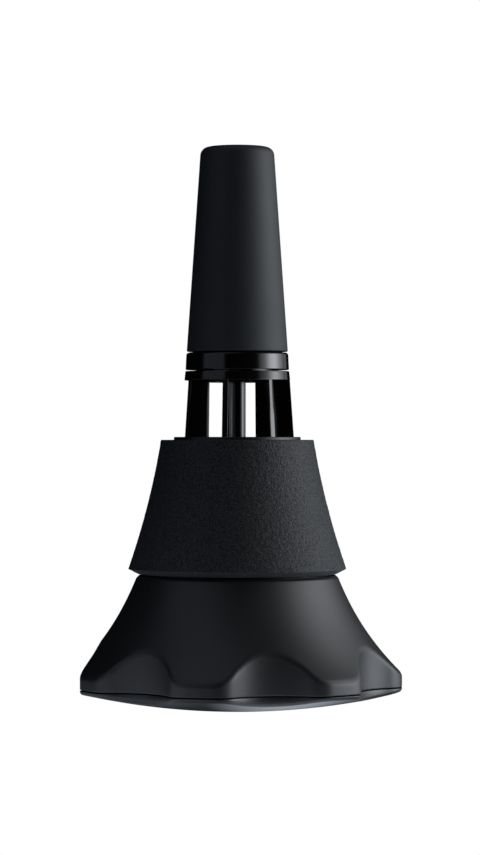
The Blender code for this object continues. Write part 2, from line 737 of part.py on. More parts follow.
def build():
    """Makes every piece, bottom to top, each with its own material."""
    satin_black = (0.022, 0.023, 0.025)
    gloss_black = (0.012, 0.012, 0.013)
    foam_black = (0.018, 0.019, 0.020)
    soft_black = (0.024, 0.026, 0.028)
    felt_grey = (0.11, 0.11, 0.115)
    seal_black = (0.030, 0.030, 0.030)
    cloth_grey = (0.20, 0.20, 0.21)
    pieces = [
        (base_plate(), "satin moulded plastic, base", satin_black, 0.38),
        (vent_screen(), "woven screen cloth", cloth_grey, 0.9),
        (base_felt(), "pressed felt, base", felt_grey, 1.0),
        (grip_shell(), "satin moulded plastic, grip", satin_black, 0.42),
        (body_seal(), "nitrile rubber, body seal", seal_black, 0.6),
        (foam_carrier(), "satin moulded plastic, carrier", satin_black, 0.45),
        (carrier_lining(), "pressed felt, carrier", felt_grey, 1.0),
        (sealing_foam(), "closed-cell foam", foam_black, 0.95),
        (cage(), "gloss moulded plastic, cage", gloss_black, 0.12),
        (tube_bush(), "nitrile rubber, bush", seal_black, 0.6),
        (air_tube(), "gloss drawn tube", gloss_black, 0.15),
        (cap_seal(), "nitrile rubber, cap seal", seal_black, 0.6),
        (cap_core(), "gloss moulded plastic, cap", gloss_black, 0.12),
        (cap_damper(), "pressed felt, cap", felt_grey, 1.0),
        (cap_sleeve(), "soft-touch elastomer", soft_black, 0.6),
    ]
    for part, name, color, roughness in pieces:
        finish(part, new_material(name, color, roughness))


clear_scene()
new_collection(PARTS)
new_collection(HELPERS).hide_render = True
build()
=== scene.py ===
"""A trumpet practice mute, dressed for a studio photograph.

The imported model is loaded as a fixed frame. Every piece is built again at full fineness
in the place where the frame holds it: turned pieces as smooth shells, the wavy grip and
base as lofts, and fins, vents and screw threads with Geometry Nodes. Sizes are given in
millimetres and become metres where a mesh is made. The mute stands on its base at the
origin, with +Z up its axis.
"""

import enum
import logging
import math
from collections.abc import Callable, Iterable, Sequence
from dataclasses import dataclass, field

import bmesh
import bpy
from mathutils import Matrix, Vector, noise


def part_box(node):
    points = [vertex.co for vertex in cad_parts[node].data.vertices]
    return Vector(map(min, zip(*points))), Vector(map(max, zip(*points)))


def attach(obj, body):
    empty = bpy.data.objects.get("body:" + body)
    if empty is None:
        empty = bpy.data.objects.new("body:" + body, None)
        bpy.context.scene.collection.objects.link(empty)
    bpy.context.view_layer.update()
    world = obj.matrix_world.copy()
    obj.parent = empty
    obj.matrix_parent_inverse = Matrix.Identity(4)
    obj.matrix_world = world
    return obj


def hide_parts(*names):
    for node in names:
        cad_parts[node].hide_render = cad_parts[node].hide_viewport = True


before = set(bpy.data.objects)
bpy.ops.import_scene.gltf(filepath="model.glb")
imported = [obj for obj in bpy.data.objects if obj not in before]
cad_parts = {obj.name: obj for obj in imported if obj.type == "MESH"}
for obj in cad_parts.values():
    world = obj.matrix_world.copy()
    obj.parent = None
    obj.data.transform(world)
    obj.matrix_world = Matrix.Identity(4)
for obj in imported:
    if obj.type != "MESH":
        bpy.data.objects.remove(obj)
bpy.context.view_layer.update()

LOG = logging.getLogger("mute")
MM = 0.001

# How many points go round a turned piece, a lobed one, and one that is slim or hidden
FINE_COLUMNS = 192
LOBED_COLUMNS = 7 * 60
PLAIN_COLUMNS = 96
# A rounding's steps, the share of a side that it may take, and how far off a point holds it
FILLET_STEPS = 4
FILLET_SHARE = 0.4
HOLD = 0.12
# Edges that turn by more than this are shaded sharp
SMOOTH_ANGLE = math.radians(38)
# How thin a screw ridge ends, as a share of its section
RIDGE_END = 0.15
# The wave texture's period at a scale of 1
WAVE_PERIOD = math.tau / 20

Point = tuple[float, float]
Row = Callable[[float], Point]
Level = float | bpy.types.NodeSocket


class Slot(enum.Enum):
    """The material slots, by what they dress."""

    BASE = "satin_base"
    GRIP = "satin_grip"
    CARRIER = "satin_carrier"
    GLOSS = "gloss_plastic"
    TUBE = "gloss_tube"
    SLEEVE = "soft_sleeve"
    FOAM = "foam"
    FELT = "felt"
    CLOTH = "screen_cloth"
    SEAL = "seal_rubber"


class Body(enum.Enum):
    """The bodies that move on their own."""

    GRIP = "grip"
    LOWER_SEAL = "lower_seal"
    UPPER = "upper"
    UPPER_SEAL = "upper_seal"
    CAP = "cap"


def foot_of(node: str) -> float:
    """Reads a node's lowest height from the frame.

    Args:
        node: the node's name.

    Returns:
        The height in millimetres.
    """
    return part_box(node)[0].z / MM


def top_of(node: str) -> float:
    """Reads a node's greatest height from the frame.

    Args:
        node: the node's name.

    Returns:
        The height in millimetres.
    """
    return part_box(node)[1].z / MM


def linear(code: str) -> tuple[float, float, float, float]:
    """Turns an sRGB hex colour into the linear one that shaders take.

    Args:
        code: the colour as #rrggbb.

    Returns:
        The linear red, green and blue, and an alpha of 1.
    """
    parts = [int(code[i : i + 2], 16) / 255 for i in (1, 3, 5)]
    curved = [c / 12.92 if c <= 0.04045 else ((c + 0.055) / 1.055) ** 2.4 for c in parts]
    return (curved[0], curved[1], curved[2], 1.0)


def add_node(
    tree: bpy.types.NodeTree,
    kind: str,
    inputs: dict[str | int, object] | None = None,
    **settings: object,
) -> bpy.types.Node:
    """Adds a node with its settings, values and links.

    Args:
        tree: the node tree that takes it.
        kind: the node's type name.
        inputs: a value, or another node's output, for each input by name or number.
        settings: the node's own properties.

    Returns:
        The new node.
    """
    node = tree.nodes.new(kind)
    for name, value in settings.items():
        setattr(node, name, value)
    for key, value in (inputs or {}).items():
        if isinstance(value, bpy.types.NodeSocket):
            tree.links.new(value, node.inputs[key])
        else:
            node.inputs[key].default_value = value
    return node


def new_material(
    name: str,
) -> tuple[bpy.types.Material, bpy.types.NodeTree, bpy.types.Node]:
    """Makes a Principled material with nothing set yet.

    Args:
        name: the real material's name.

    Returns:
        The material, its node tree and its shader node.
    """
    material = bpy.data.materials.new(name)
    material.use_nodes = True
    tree = material.node_tree
    return material, tree, tree.nodes["Principled BSDF"]


@dataclass(frozen=True)
class MouldedPlastic:
    """A plastic or rubber that is one colour right through, with the skin of its mould.

    Fine grain breaks up the highlight, and clouds of a slightly different gloss lie
    where the melt cooled and where hands have rubbed it.
    """

    name: str
    color: str = "#1a1b1d"
    roughness: float = 0.42
    ior: float = 1.53
    cloud: float = 0.03
    cloud_size: float = 18.0
    cloud_span: tuple[float, float] = (0.3, 0.7)
    grain_size: float = 0.3
    grain_height: float = 0.006

    def material(self) -> bpy.types.Material:
        """Builds the skin's node tree.

        Returns:
            The material.
        """
        material, tree, shader = new_material(self.name)
        place = add_node(tree, "ShaderNodeTexCoord").outputs["Object"]
        cloud = add_node(
            tree,
            "ShaderNodeTexNoise",
            {"Vector": place, "Scale": 1 / (self.cloud_size * MM), "Detail": 3.0},
        )
        low, high = self.cloud_span
        rough = add_node(
            tree,
            "ShaderNodeMapRange",
            {
                0: cloud.outputs[0],
                1: low,
                2: high,
                3: self.roughness - self.cloud,
                4: self.roughness + self.cloud,
            },
        )
        grain = add_node(
            tree,
            "ShaderNodeTexNoise",
            {"Vector": place, "Scale": 1 / (self.grain_size * MM), "Detail": 2.0},
        )
        bump = add_node(
            tree,
            "ShaderNodeBump",
            {"Strength": 1.0, "Distance": self.grain_height * MM, "Height": grain.outputs[0]},
        )
        shader.inputs["Base Color"].default_value = linear(self.color)
        shader.inputs["IOR"].default_value = self.ior
        tree.links.new(rough.outputs[0], shader.inputs["Roughness"])
        tree.links.new(bump.outputs[0], shader.inputs["Normal"])
        return material


@dataclass(frozen=True)
class SheetFoam:
    """Closed-cell foam, skived from a block, so that cut cells pit its face.

    The cells are 0.3 to 0.8 mm across. Their floors are painted darker, as painted shade,
    and their torn walls lighter, as small grey specks of painted highlight. The end face,
    cut across, is paler: partly its own tone, partly painted light from the table below.
    """

    name: str = "EVA foam, skived"
    pit_color_with_painted_shade: str = "#0a0b0b"
    wall_color_with_painted_light: str = "#2d3033"
    end_face_color_with_painted_light: str = "#323437"
    cell_size: float = 0.55
    speck_size: float = 0.36
    speck_span: tuple[float, float] = (0.36, 0.62)
    shine_span: tuple[float, float] = (0.25, 0.62)
    edge_slopes: tuple[float, float] = (-0.3, -0.6)
    depth: float = 0.13
    roughness: float = 0.62
    ior: float = 1.45

    def material(self) -> bpy.types.Material:
        """Builds the foam's node tree.

        Returns:
            The material.
        """
        material, tree, shader = new_material(self.name)
        spot = add_node(tree, "ShaderNodeTexCoord")
        place = spot.outputs["Object"]
        cells = add_node(
            tree,
            "ShaderNodeTexVoronoi",
            {"Vector": place, "Scale": 1 / (self.cell_size * MM)},
        )
        specks = add_node(
            tree,
            "ShaderNodeTexNoise",
            {
                "Vector": place,
                "Scale": 1 / (self.speck_size * MM),
                "Detail": 3.0,
                "Roughness": 0.65,
            },
        )
        height = add_node(
            tree,
            "ShaderNodeMath",
            {0: cells.outputs["Distance"], 1: specks.outputs[0]},
            operation="MULTIPLY",
        )
        low, high = self.speck_span
        tint = add_node(tree, "ShaderNodeMapRange", {0: specks.outputs[0], 1: low, 2: high})
        dull, bright = self.shine_span
        shine = add_node(tree, "ShaderNodeMapRange", {0: tint.outputs[0], 3: dull, 4: bright})
        # The speck tint paints shade into the pits and highlight onto the cell walls, over the
        # foam's own near-black
        face = add_node(
            tree,
            "ShaderNodeMix",
            {0: tint.outputs[0], 6: linear(self.pit_color_with_painted_shade), 7: linear(self.wall_color_with_painted_light)},
            data_type="RGBA",
        )
        # Faces that look down take the end face's paler colour: partly the cut cells' own tone,
        # partly painted light from the table below
        facing = add_node(tree, "ShaderNodeSeparateXYZ", {0: spot.outputs["Normal"]})
        first, full = self.edge_slopes
        cut = add_node(tree, "ShaderNodeMapRange", {0: facing.outputs[2], 1: first, 2: full})
        color = add_node(
            tree,
            "ShaderNodeMix",
            {0: cut.outputs[0], 6: face.outputs[2], 7: linear(self.end_face_color_with_painted_light)},
            data_type="RGBA",
        )
        bump = add_node(
            tree,
            "ShaderNodeBump",
            {"Strength": 1.0, "Distance": self.depth * MM, "Height": height.outputs[0]},
        )
        shader.inputs["Roughness"].default_value = self.roughness
        shader.inputs["IOR"].default_value = self.ior
        tree.links.new(shine.outputs[0], shader.inputs["Specular IOR Level"])
        tree.links.new(color.outputs[2], shader.inputs["Base Color"])
        tree.links.new(bump.outputs[0], shader.inputs["Normal"])
        return material


@dataclass(frozen=True)
class PressedFelt:
    """Wool felt, pressed: short crossing fibres, denser in some clouds than in others."""

    name: str = "wool felt, pressed"
    low_color: str = "#3a3b3d"
    high_color: str = "#6a6b6e"
    fibre_size: float = 0.35
    cloud_size: float = 5.0
    tint_span: tuple[float, float] = (0.75, 1.25)
    depth: float = 0.12
    roughness: float = 0.95
    sheen: float = 0.25

    def material(self) -> bpy.types.Material:
        """Builds the felt's node tree.

        Returns:
            The material.
        """
        material, tree, shader = new_material(self.name)
        place = add_node(tree, "ShaderNodeTexCoord").outputs["Object"]
        cloud = add_node(
            tree,
            "ShaderNodeTexNoise",
            {"Vector": place, "Scale": 1 / (self.cloud_size * MM), "Detail": 5.0},
        )
        fibre = add_node(
            tree,
            "ShaderNodeTexNoise",
            {
                "Vector": place,
                "Scale": 1 / (self.fibre_size * MM),
                "Detail": 4.0,
                "Distortion": 1.5,
            },
        )
        both = add_node(
            tree, "ShaderNodeMath", {0: cloud.outputs[0], 1: fibre.outputs[0]}, operation="ADD"
        )
        low, high = self.tint_span
        tint = add_node(tree, "ShaderNodeMapRange", {0: both.outputs[0], 1: low, 2: high})
        color = add_node(
            tree,
            "ShaderNodeMix",
            {0: tint.outputs[0], 6: linear(self.low_color), 7: linear(self.high_color)},
            data_type="RGBA",
        )
        bump = add_node(
            tree,
            "ShaderNodeBump",
            {"Strength": 1.0, "Distance": self.depth * MM, "Height": fibre.outputs[0]},
        )
        shader.inputs["Roughness"].default_value = self.roughness
        shader.inputs["Sheen Weight"].default_value = self.sheen
        tree.links.new(color.outputs[2], shader.inputs["Base Color"])
        tree.links.new(bump.outputs[0], shader.inputs["Normal"])
        return material


@dataclass(frozen=True)
class ScreenCloth:
    """Polyester screen in plain weave, drawn by two crossed waves.

    Its real threads are 0.3 mm apart, too fine to show here, so they are drawn coarser.
    """

    name: str = "polyester screen, plain weave"
    thread_color: str = "#7b7d80"
    gap_color: str = "#1a1b1c"
    thread_spacing: float = 0.8
    depth: float = 0.12
    roughness: float = 0.8

    def material(self) -> bpy.types.Material:
        """Builds the cloth's node tree.

        Returns:
            The material.
        """
        material, tree, shader = new_material(self.name)
        place = add_node(tree, "ShaderNodeTexCoord").outputs["Object"]
        scale = WAVE_PERIOD / (self.thread_spacing * MM)
        warp, weft = (
            add_node(
                tree,
                "ShaderNodeTexWave",
                {"Vector": place, "Scale": scale},
                bands_direction=direction,
            )
            for direction in ("X", "Y")
        )
        weave = add_node(
            tree,
            "ShaderNodeMath",
            {0: warp.outputs["Fac"], 1: weft.outputs["Fac"]},
            operation="MAXIMUM",
        )
        color = add_node(
            tree,
            "ShaderNodeMix",
            {0: weave.outputs[0], 6: linear(self.gap_color), 7: linear(self.thread_color)},
            data_type="RGBA",
        )
        bump = add_node(
            tree,
            "ShaderNodeBump",
            {"Strength": 1.0, "Distance": self.depth * MM, "Height": weave.outputs[0]},
        )
        shader.inputs["Roughness"].default_value = self.roughness
        tree.links.new(color.outputs[2], shader.inputs["Base Color"])
        tree.links.new(bump.outputs[0], shader.inputs["Normal"])
        return material


class Finishes:
    """Every finish of the mute, each made once."""

    def __init__(self) -> None:
        """Makes the materials."""
        # ABS from a spark-eroded mould: a broad, soft highlight with a fine grain
        self.base = MouldedPlastic("ABS base, spark-eroded mould", roughness=0.36).material()
        self.grip = MouldedPlastic("ABS grip, spark-eroded mould", roughness=0.42).material()
        self.carrier = MouldedPlastic("ABS carrier, spark-eroded mould", roughness=0.4).material()
        # ABS from a polished mould: deep black between narrow, sharp highlights
        self.gloss = MouldedPlastic(
            "ABS, polished mould",
            color="#0b0b0c",
            roughness=0.15,
            cloud=0.015,
            grain_size=2.5,
            grain_height=0.004,
        ).material()
        # Extruded tube: glossy, with faint lines from the die along it
        self.tube = MouldedPlastic(
            "ABS tube, extruded",
            color="#0d0d0e",
            roughness=0.2,
            cloud=0.02,
            grain_size=1.5,
            grain_height=0.004,
        ).material()
        # Soft-touch elastomer: dry and velvety, it spreads the light and looks a little blue
        self.sleeve = MouldedPlastic(
            "TPE sleeve, soft-touch",
            color="#23272a",
            roughness=0.6,
            ior=1.5,
            cloud=0.02,
            grain_size=0.35,
            grain_height=0.008,
        ).material()
        # Nitrile rubber: dull black with a bloom of grey
        self.seal = MouldedPlastic(
            "nitrile rubber, pressed", color="#202021", roughness=0.62, ior=1.52
        ).material()
        self.foam = SheetFoam().material()
        self.felt = PressedFelt().material()
        self.cloth = ScreenCloth().material()


@dataclass(frozen=True)
class Corner:
    """A corner of a turned piece's outline, and the radius that rounds it."""

    radius: float
    height: float
    fillet: float = 0.15

    @property
    def place(self) -> Vector:
        """The corner as a flat vector."""
        return Vector((self.radius, self.height))


def rounded(corners: Sequence[Corner], looped: bool) -> list[Point]:
    """Rounds an outline's corners, with a point just outside each rounding to hold it.

    Args:
        corners: the outline's corners in order.
        looped: whether the last corner joins the first.

    Returns:
        The outline's points.
    """
    points: list[Point] = []
    count = len(corners)
    for index, corner in enumerate(corners):
        at_end = index in (0, count - 1) and not looped
        if at_end or corner.fillet <= 0:
            points.append((corner.radius, corner.height))
            continue
        back = corners[index - 1].place - corner.place
        ahead = corners[(index + 1) % count].place - corner.place
        half = back.angle(ahead) / 2
        longest = FILLET_SHARE * min(back.length, ahead.length)
        reach = min(corner.fillet / math.tan(half), longest)
        back_way, ahead_way = back.normalized(), ahead.normalized()
        bisector = (back_way + ahead_way).normalized()
        centre = corner.place + bisector * (reach / math.cos(half))
        first = corner.place + back_way * reach - centre
        last = corner.place + ahead_way * reach - centre
        if back.length > reach + 4 * HOLD:
            points.append(tuple(corner.place + back_way * (reach + HOLD)))
        for step in range(FILLET_STEPS + 1):
            spoke = first.normalized().slerp(last.normalized(), step / FILLET_STEPS)
            points.append(tuple(centre + spoke * first.length))
        if ahead.length > reach + 4 * HOLD:
            points.append(tuple(corner.place + ahead_way * (reach + HOLD)))
    return points


def steady(point: Point) -> Row:
    """Makes a row that is the same all round.

    Args:
        point: the row's radius and height.

    Returns:
        The row.
    """
    return lambda angle: point


def smooth_min(first: float, second: float, softness: float) -> float:
    """The smaller of two distances, eased where they meet.

    Args:
        first: one distance.
        second: the other distance.
        softness: how far apart they are when the easing starts.

    Returns:
        The eased smaller distance.
    """
    overlap = max(softness - abs(first - second), 0.0)
    return min(first, second) - overlap * overlap / (4 * softness)


def add_piece(name: str, mesh: bpy.types.Mesh) -> bpy.types.Object:
    """Puts a mesh in the scene as an object.

    Args:
        name: the object's name.
        mesh: its mesh.

    Returns:
        The object.
    """
    piece = bpy.data.objects.new(name, mesh)
    bpy.context.scene.collection.objects.link(piece)
    return piece


def from_bmesh(name: str, bm: bmesh.types.BMesh) -> bpy.types.Object:
    """Turns a bmesh into an object and frees it.

    Args:
        name: the object's name.
        bm: the bmesh.

    Returns:
        The object.
    """
    mesh = bpy.data.meshes.new(name)
    bm.to_mesh(mesh)
    bm.free()
    return add_piece(name, mesh)


def shell(name: str, rows: Sequence[Row], columns: int) -> bpy.types.Object:
    """Skins rows of points round the axis into one closed shell, faces outwards.

    The rows run down the outer side. They start and end on the axis for a piece that is
    closed there, and otherwise come back up the inner side to meet the first.

    Args:
        name: the new object's name.
        rows: for each row, its radius and height in millimetres at an angle.
        columns: how many points a row has.

    Returns:
        The new object, in the scene.
    """
    verts: list[tuple[float, float, float]] = []
    starts: list[int] = []
    poles: list[bool] = []
    angles = [math.tau * column / columns for column in range(columns)]
    for row in rows:
        pole = row(0.0)[0] <= 0
        starts.append(len(verts))
        poles.append(pole)
        for angle in angles[:1] if pole else angles:
            radius, height = row(angle)
            verts.append(
                (radius * math.cos(angle) * MM, radius * math.sin(angle) * MM, height * MM)
            )
    pairs = list(zip(range(len(rows) - 1), range(1, len(rows))))
    if not poles[0]:
        pairs.append((len(rows) - 1, 0))
    faces: list[tuple[int, ...]] = []
    for upper, lower in pairs:
        for column in range(columns):
            beyond = (column + 1) % columns
            face = [starts[upper] + (0 if poles[upper] else column)]
            face.append(starts[lower] + (0 if poles[lower] else column))
            if not poles[lower]:
                face.append(starts[lower] + beyond)
            if not poles[upper]:
                face.append(starts[upper] + beyond)
            faces.append(tuple(face))
    mesh = bpy.data.meshes.new(name)
    mesh.from_pydata(verts, [], faces)
    return add_piece(name, mesh)


def turned(
    name: str, corners: Sequence[Corner], columns: int = FINE_COLUMNS
) -> bpy.types.Object:
    """Turns an outline with rounded corners about the axis.

    Args:
        name: the new object's name.
        corners: the outline's corners, down the outer side.
        columns: how many points a row has.

    Returns:
        The new object.
    """
    points = rounded(corners, looped=corners[0].radius > 0)
    return shell(name, [steady(point) for point in points], columns)


def soft_ends(corners: Sequence[Corner], fillet: float = 0.5) -> list[Corner]:
    """Rounds the two ends of a line, as the cut edge of a felt is.

    Args:
        corners: the line.
        fillet: the rounding's radius.

    Returns:
        The line with rounded ends.
    """
    first, last = corners[0], corners[-1]
    return [
        Corner(first.radius, first.height, fillet),
        *corners[1:-1],
        Corner(last.radius, last.height, fillet),
    ]


def plain_mesh(piece: bpy.types.Object) -> None:
    """Makes an object's modifiers part of its mesh and removes them.

    Args:
        piece: the object.
    """
    graph = bpy.context.evaluated_depsgraph_get()
    mesh = bpy.data.meshes.new_from_object(piece.evaluated_get(graph))
    piece.modifiers.clear()
    piece.data = mesh


def combine(piece: bpy.types.Object, other: bpy.types.Object, operation: str) -> None:
    """Cuts a piece by another object or joins the object to it, and removes the other.

    Args:
        piece: the piece that stays.
        other: the shape that is cut away or joined.
        operation: UNION or DIFFERENCE.
    """
    modifier = piece.modifiers.new("Shape", "BOOLEAN")
    modifier.operation = operation
    modifier.object = other
    modifier.solver = "EXACT"
    plain_mesh(piece)
    bpy.data.objects.remove(other, do_unlink=True)


def face_outwards(piece: bpy.types.Object) -> None:
    """Turns the faces of a piece without hollows outwards.

    Args:
        piece: the piece.
    """
    bm = bmesh.new()
    bm.from_mesh(piece.data)
    bmesh.ops.recalc_face_normals(bm, faces=bm.faces)
    bm.to_mesh(piece.data)
    bm.free()


def new_tree(
    name: str, sockets: Sequence[tuple[str, str]]
) -> tuple[bpy.types.NodeTree, bpy.types.Node, bpy.types.Node]:
    """Starts a Geometry Nodes tree with named inputs and one geometry output.

    Args:
        name: the tree's name.
        sockets: the name and socket type of each input.

    Returns:
        The tree, its input node and its output node.
    """
    tree = bpy.data.node_groups.new(name, "GeometryNodeTree")
    for socket, kind in sockets:
        tree.interface.new_socket(socket, in_out="INPUT", socket_type=kind)
    tree.interface.new_socket("Geometry", in_out="OUTPUT", socket_type="NodeSocketGeometry")
    return tree, add_node(tree, "NodeGroupInput"), add_node(tree, "NodeGroupOutput")


def end_tree(
    tree: bpy.types.NodeTree,
    given: bpy.types.Node,
    result: bpy.types.Node,
    geometry: bpy.types.NodeSocket,
) -> None:
    """Ends a tree in Realize Instances and Set Material.

    Args:
        tree: the tree.
        given: its input node.
        result: its output node.
        geometry: the finished geometry.
    """
    real = add_node(tree, "GeometryNodeRealizeInstances", {0: geometry})
    dressed = add_node(
        tree,
        "GeometryNodeSetMaterial",
        {"Geometry": real.outputs[0], "Material": given.outputs["Finish"]},
    )
    tree.links.new(dressed.outputs[0], result.inputs[0])


def copies_round_axis() -> bpy.types.NodeTree:
    """Builds the tree that repeats a shape round the mute's axis.

    Returns:
        The tree.
    """
    tree, given, result = new_tree(
        "Copies round the axis",
        [
            ("Geometry", "NodeSocketGeometry"),
            ("Count", "NodeSocketInt"),
            ("First turn", "NodeSocketFloat"),
            ("Finish", "NodeSocketMaterial"),
        ],
    )
    step = add_node(
        tree, "ShaderNodeMath", {0: math.tau, 1: given.outputs["Count"]}, operation="DIVIDE"
    )
    number = add_node(tree, "GeometryNodeInputIndex")
    angle = add_node(
        tree,
        "ShaderNodeMath",
        {0: number.outputs[0], 1: step.outputs[0], 2: given.outputs["First turn"]},
        operation="MULTIPLY_ADD",
    )
    turn = add_node(
        tree, "FunctionNodeAxisAngleToRotation", {"Axis": (0, 0, 1), "Angle": angle.outputs[0]}
    )
    points = add_node(tree, "GeometryNodePoints", {"Count": given.outputs["Count"]})
    copies = add_node(
        tree,
        "GeometryNodeInstanceOnPoints",
        {
            "Points": points.outputs[0],
            "Instance": given.outputs["Geometry"],
            "Rotation": turn.outputs[0],
        },
    )
    end_tree(tree, given, result, copies.outputs[0])
    return tree


def screw_ridge() -> bpy.types.NodeTree:
    """Builds the tree that winds a right-handed ridge round the axis.

    The ridge's section is swept along a spiral that lies in the wall's surface. It runs
    out thin at both ends, as a moulded thread does.

    Returns:
        The tree.
    """
    tree, given, result = new_tree(
        "Screw ridge",
        [
            ("Geometry", "NodeSocketGeometry"),
            ("Wall radius", "NodeSocketFloat"),
            ("Foot", "NodeSocketFloat"),
            ("Turns", "NodeSocketFloat"),
            ("Pitch", "NodeSocketFloat"),
            ("Sink", "NodeSocketFloat"),
            ("Depth", "NodeSocketFloat"),
            ("Root width", "NodeSocketFloat"),
            ("Crest width", "NodeSocketFloat"),
            ("Run-out", "NodeSocketFloat"),
            ("Finish", "NodeSocketMaterial"),
        ],
    )
    rise = add_node(
        tree,
        "ShaderNodeMath",
        {0: given.outputs["Turns"], 1: given.outputs["Pitch"]},
        operation="MULTIPLY",
    )
    spiral = add_node(
        tree,
        "GeometryNodeCurveSpiral",
        {
            "Resolution": PLAIN_COLUMNS,
            "Rotations": given.outputs["Turns"],
            "Start Radius": given.outputs["Wall radius"],
            "End Radius": given.outputs["Wall radius"],
            "Height": rise.outputs[0],
            "Reverse": True,
        },
    )
    lift = add_node(tree, "ShaderNodeCombineXYZ", {"Z": given.outputs["Foot"]})
    lifted = add_node(
        tree, "GeometryNodeSetPosition", {"Geometry": spiral.outputs[0], "Offset": lift.outputs[0]}
    )
    upright = add_node(
        tree, "GeometryNodeSetCurveNormal", {"Curve": lifted.outputs[0]}, mode="Z_UP"
    )
    section = add_node(tree, "GeometryNodeCurvePrimitiveQuadrilateral", mode="POINTS")
    corners = (
        ("Sink", "Root width", 0.5),
        ("Sink", "Root width", -0.5),
        ("Depth", "Crest width", -0.5),
        ("Depth", "Crest width", 0.5),
    )
    for number, (reach, width, share) in enumerate(corners, start=1):
        half = add_node(
            tree, "ShaderNodeMath", {0: given.outputs[width], 1: share}, operation="MULTIPLY"
        )
        corner = add_node(
            tree, "ShaderNodeCombineXYZ", {"X": given.outputs[reach], "Y": half.outputs[0]}
        )
        tree.links.new(corner.outputs[0], section.inputs[f"Point {number}"])
    along = add_node(tree, "GeometryNodeSplineParameter").outputs["Factor"]
    left = add_node(tree, "ShaderNodeMath", {0: 1.0, 1: along}, operation="SUBTRACT")
    nearest = add_node(tree, "ShaderNodeMath", {0: along, 1: left.outputs[0]}, operation="MINIMUM")
    thin = add_node(
        tree,
        "ShaderNodeMapRange",
        {0: nearest.outputs[0], 2: given.outputs["Run-out"], 3: RIDGE_END},
    )
    swept = add_node(
        tree,
        "GeometryNodeCurveToMesh",
        {
            "Curve": upright.outputs[0],
            "Profile Curve": section.outputs[0],
            "Scale": thin.outputs[0],
            "Fill Caps": True,
        },
    )
    end_tree(tree, given, result, swept.outputs[0])
    return tree


def run_tree(
    piece: bpy.types.Object, tree: bpy.types.NodeTree, values: dict[str, object]
) -> bpy.types.Object:
    """Runs a tree on an object and keeps the result as the object's plain mesh.

    Args:
        piece: the object that carries the tree, with the tree's source as its mesh.
        tree: the tree.
        values: the value of each named input.

    Returns:
        The same object.
    """
    modifier = piece.modifiers.new(tree.name, "NODES")
    modifier.node_group = tree
    for item in tree.interface.items_tree:
        if item.in_out == "INPUT" and item.name in values:
            modifier[item.identifier] = values[item.name]
    plain_mesh(piece)
    return piece


class Workshop:
    """Holds the finishes and the shared trees, and gives each piece its dress."""

    def __init__(self) -> None:
        """Makes the finishes and the trees."""
        self.finishes = Finishes()
        self.copies = copies_round_axis()
        self.ridge = screw_ridge()
        self.made = 0

    def round_axis(
        self, piece: bpy.types.Object, count: int, shift: float, finish: bpy.types.Material
    ) -> bpy.types.Object:
        """Repeats a shape round the axis.

        Args:
            piece: the shape, whose mesh is replaced by all its copies.
            count: how many copies there are.
            shift: how far round the first one is turned, as a share of their spacing.
            finish: the copies' material.

        Returns:
            The same object.
        """
        values = {"Count": count, "First turn": math.tau / count * shift, "Finish": finish}
        return run_tree(piece, self.copies, values)

    def dress(
        self,
        piece: bpy.types.Object,
        finish: bpy.types.Material,
        slot: Slot,
        body: Body,
        nodes: Iterable[str] = (),
    ) -> bpy.types.Object:
        """Gives a finished piece its material and body, and reports it.

        Args:
            piece: the piece.
            finish: its material.
            slot: not used.
            body: the body that it rides on.
            nodes: the frame's nodes that it stands for.

        Returns:
            The same piece.
        """
        piece.data.materials.clear()
        piece.data.materials.append(finish)
        piece.data.shade_smooth()
        piece.data.set_sharp_from_angle(angle=SMOOTH_ANGLE)
        if nodes:
            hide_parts(*nodes)
        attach(piece, body.value)
        self.made += 1
        LOG.info("%s: %d faces, %s", piece.name, len(piece.data.polygons), finish.name)
        return piece


@dataclass(frozen=True)
class ScrewThread:
    """One side of a coarse moulded screw thread."""

    name: str
    wall_radius: float
    foot: float
    outward: bool
    turns: float = 1.25
    pitch: float = 2.5
    depth: float = 0.55
    sink: float = 0.35
    root_width: float = 1.1
    crest_width: float = 0.5
    run_out: float = 0.09

    def build(self, shop: Workshop, finish: bpy.types.Material) -> bpy.types.Object:
        """Winds the ridge.

        Args:
            shop: the workshop with the ridge's tree.
            finish: the ridge's material.

        Returns:
            The ridge, without a body yet.
        """
        side = 1 if self.outward else -1
        values = {
            "Wall radius": self.wall_radius * MM,
            "Foot": self.foot * MM,
            "Turns": self.turns,
            "Pitch": self.pitch * MM,
            "Sink": -side * self.sink * MM,
            "Depth": side * self.depth * MM,
            "Root width": self.root_width * MM,
            "Crest width": self.crest_width * MM,
            "Run-out": self.run_out,
            "Finish": finish,
        }
        ridge = add_piece(self.name, bpy.data.meshes.new(self.name))
        run_tree(ridge, shop.ridge, values)
        face_outwards(ridge)
        return ridge


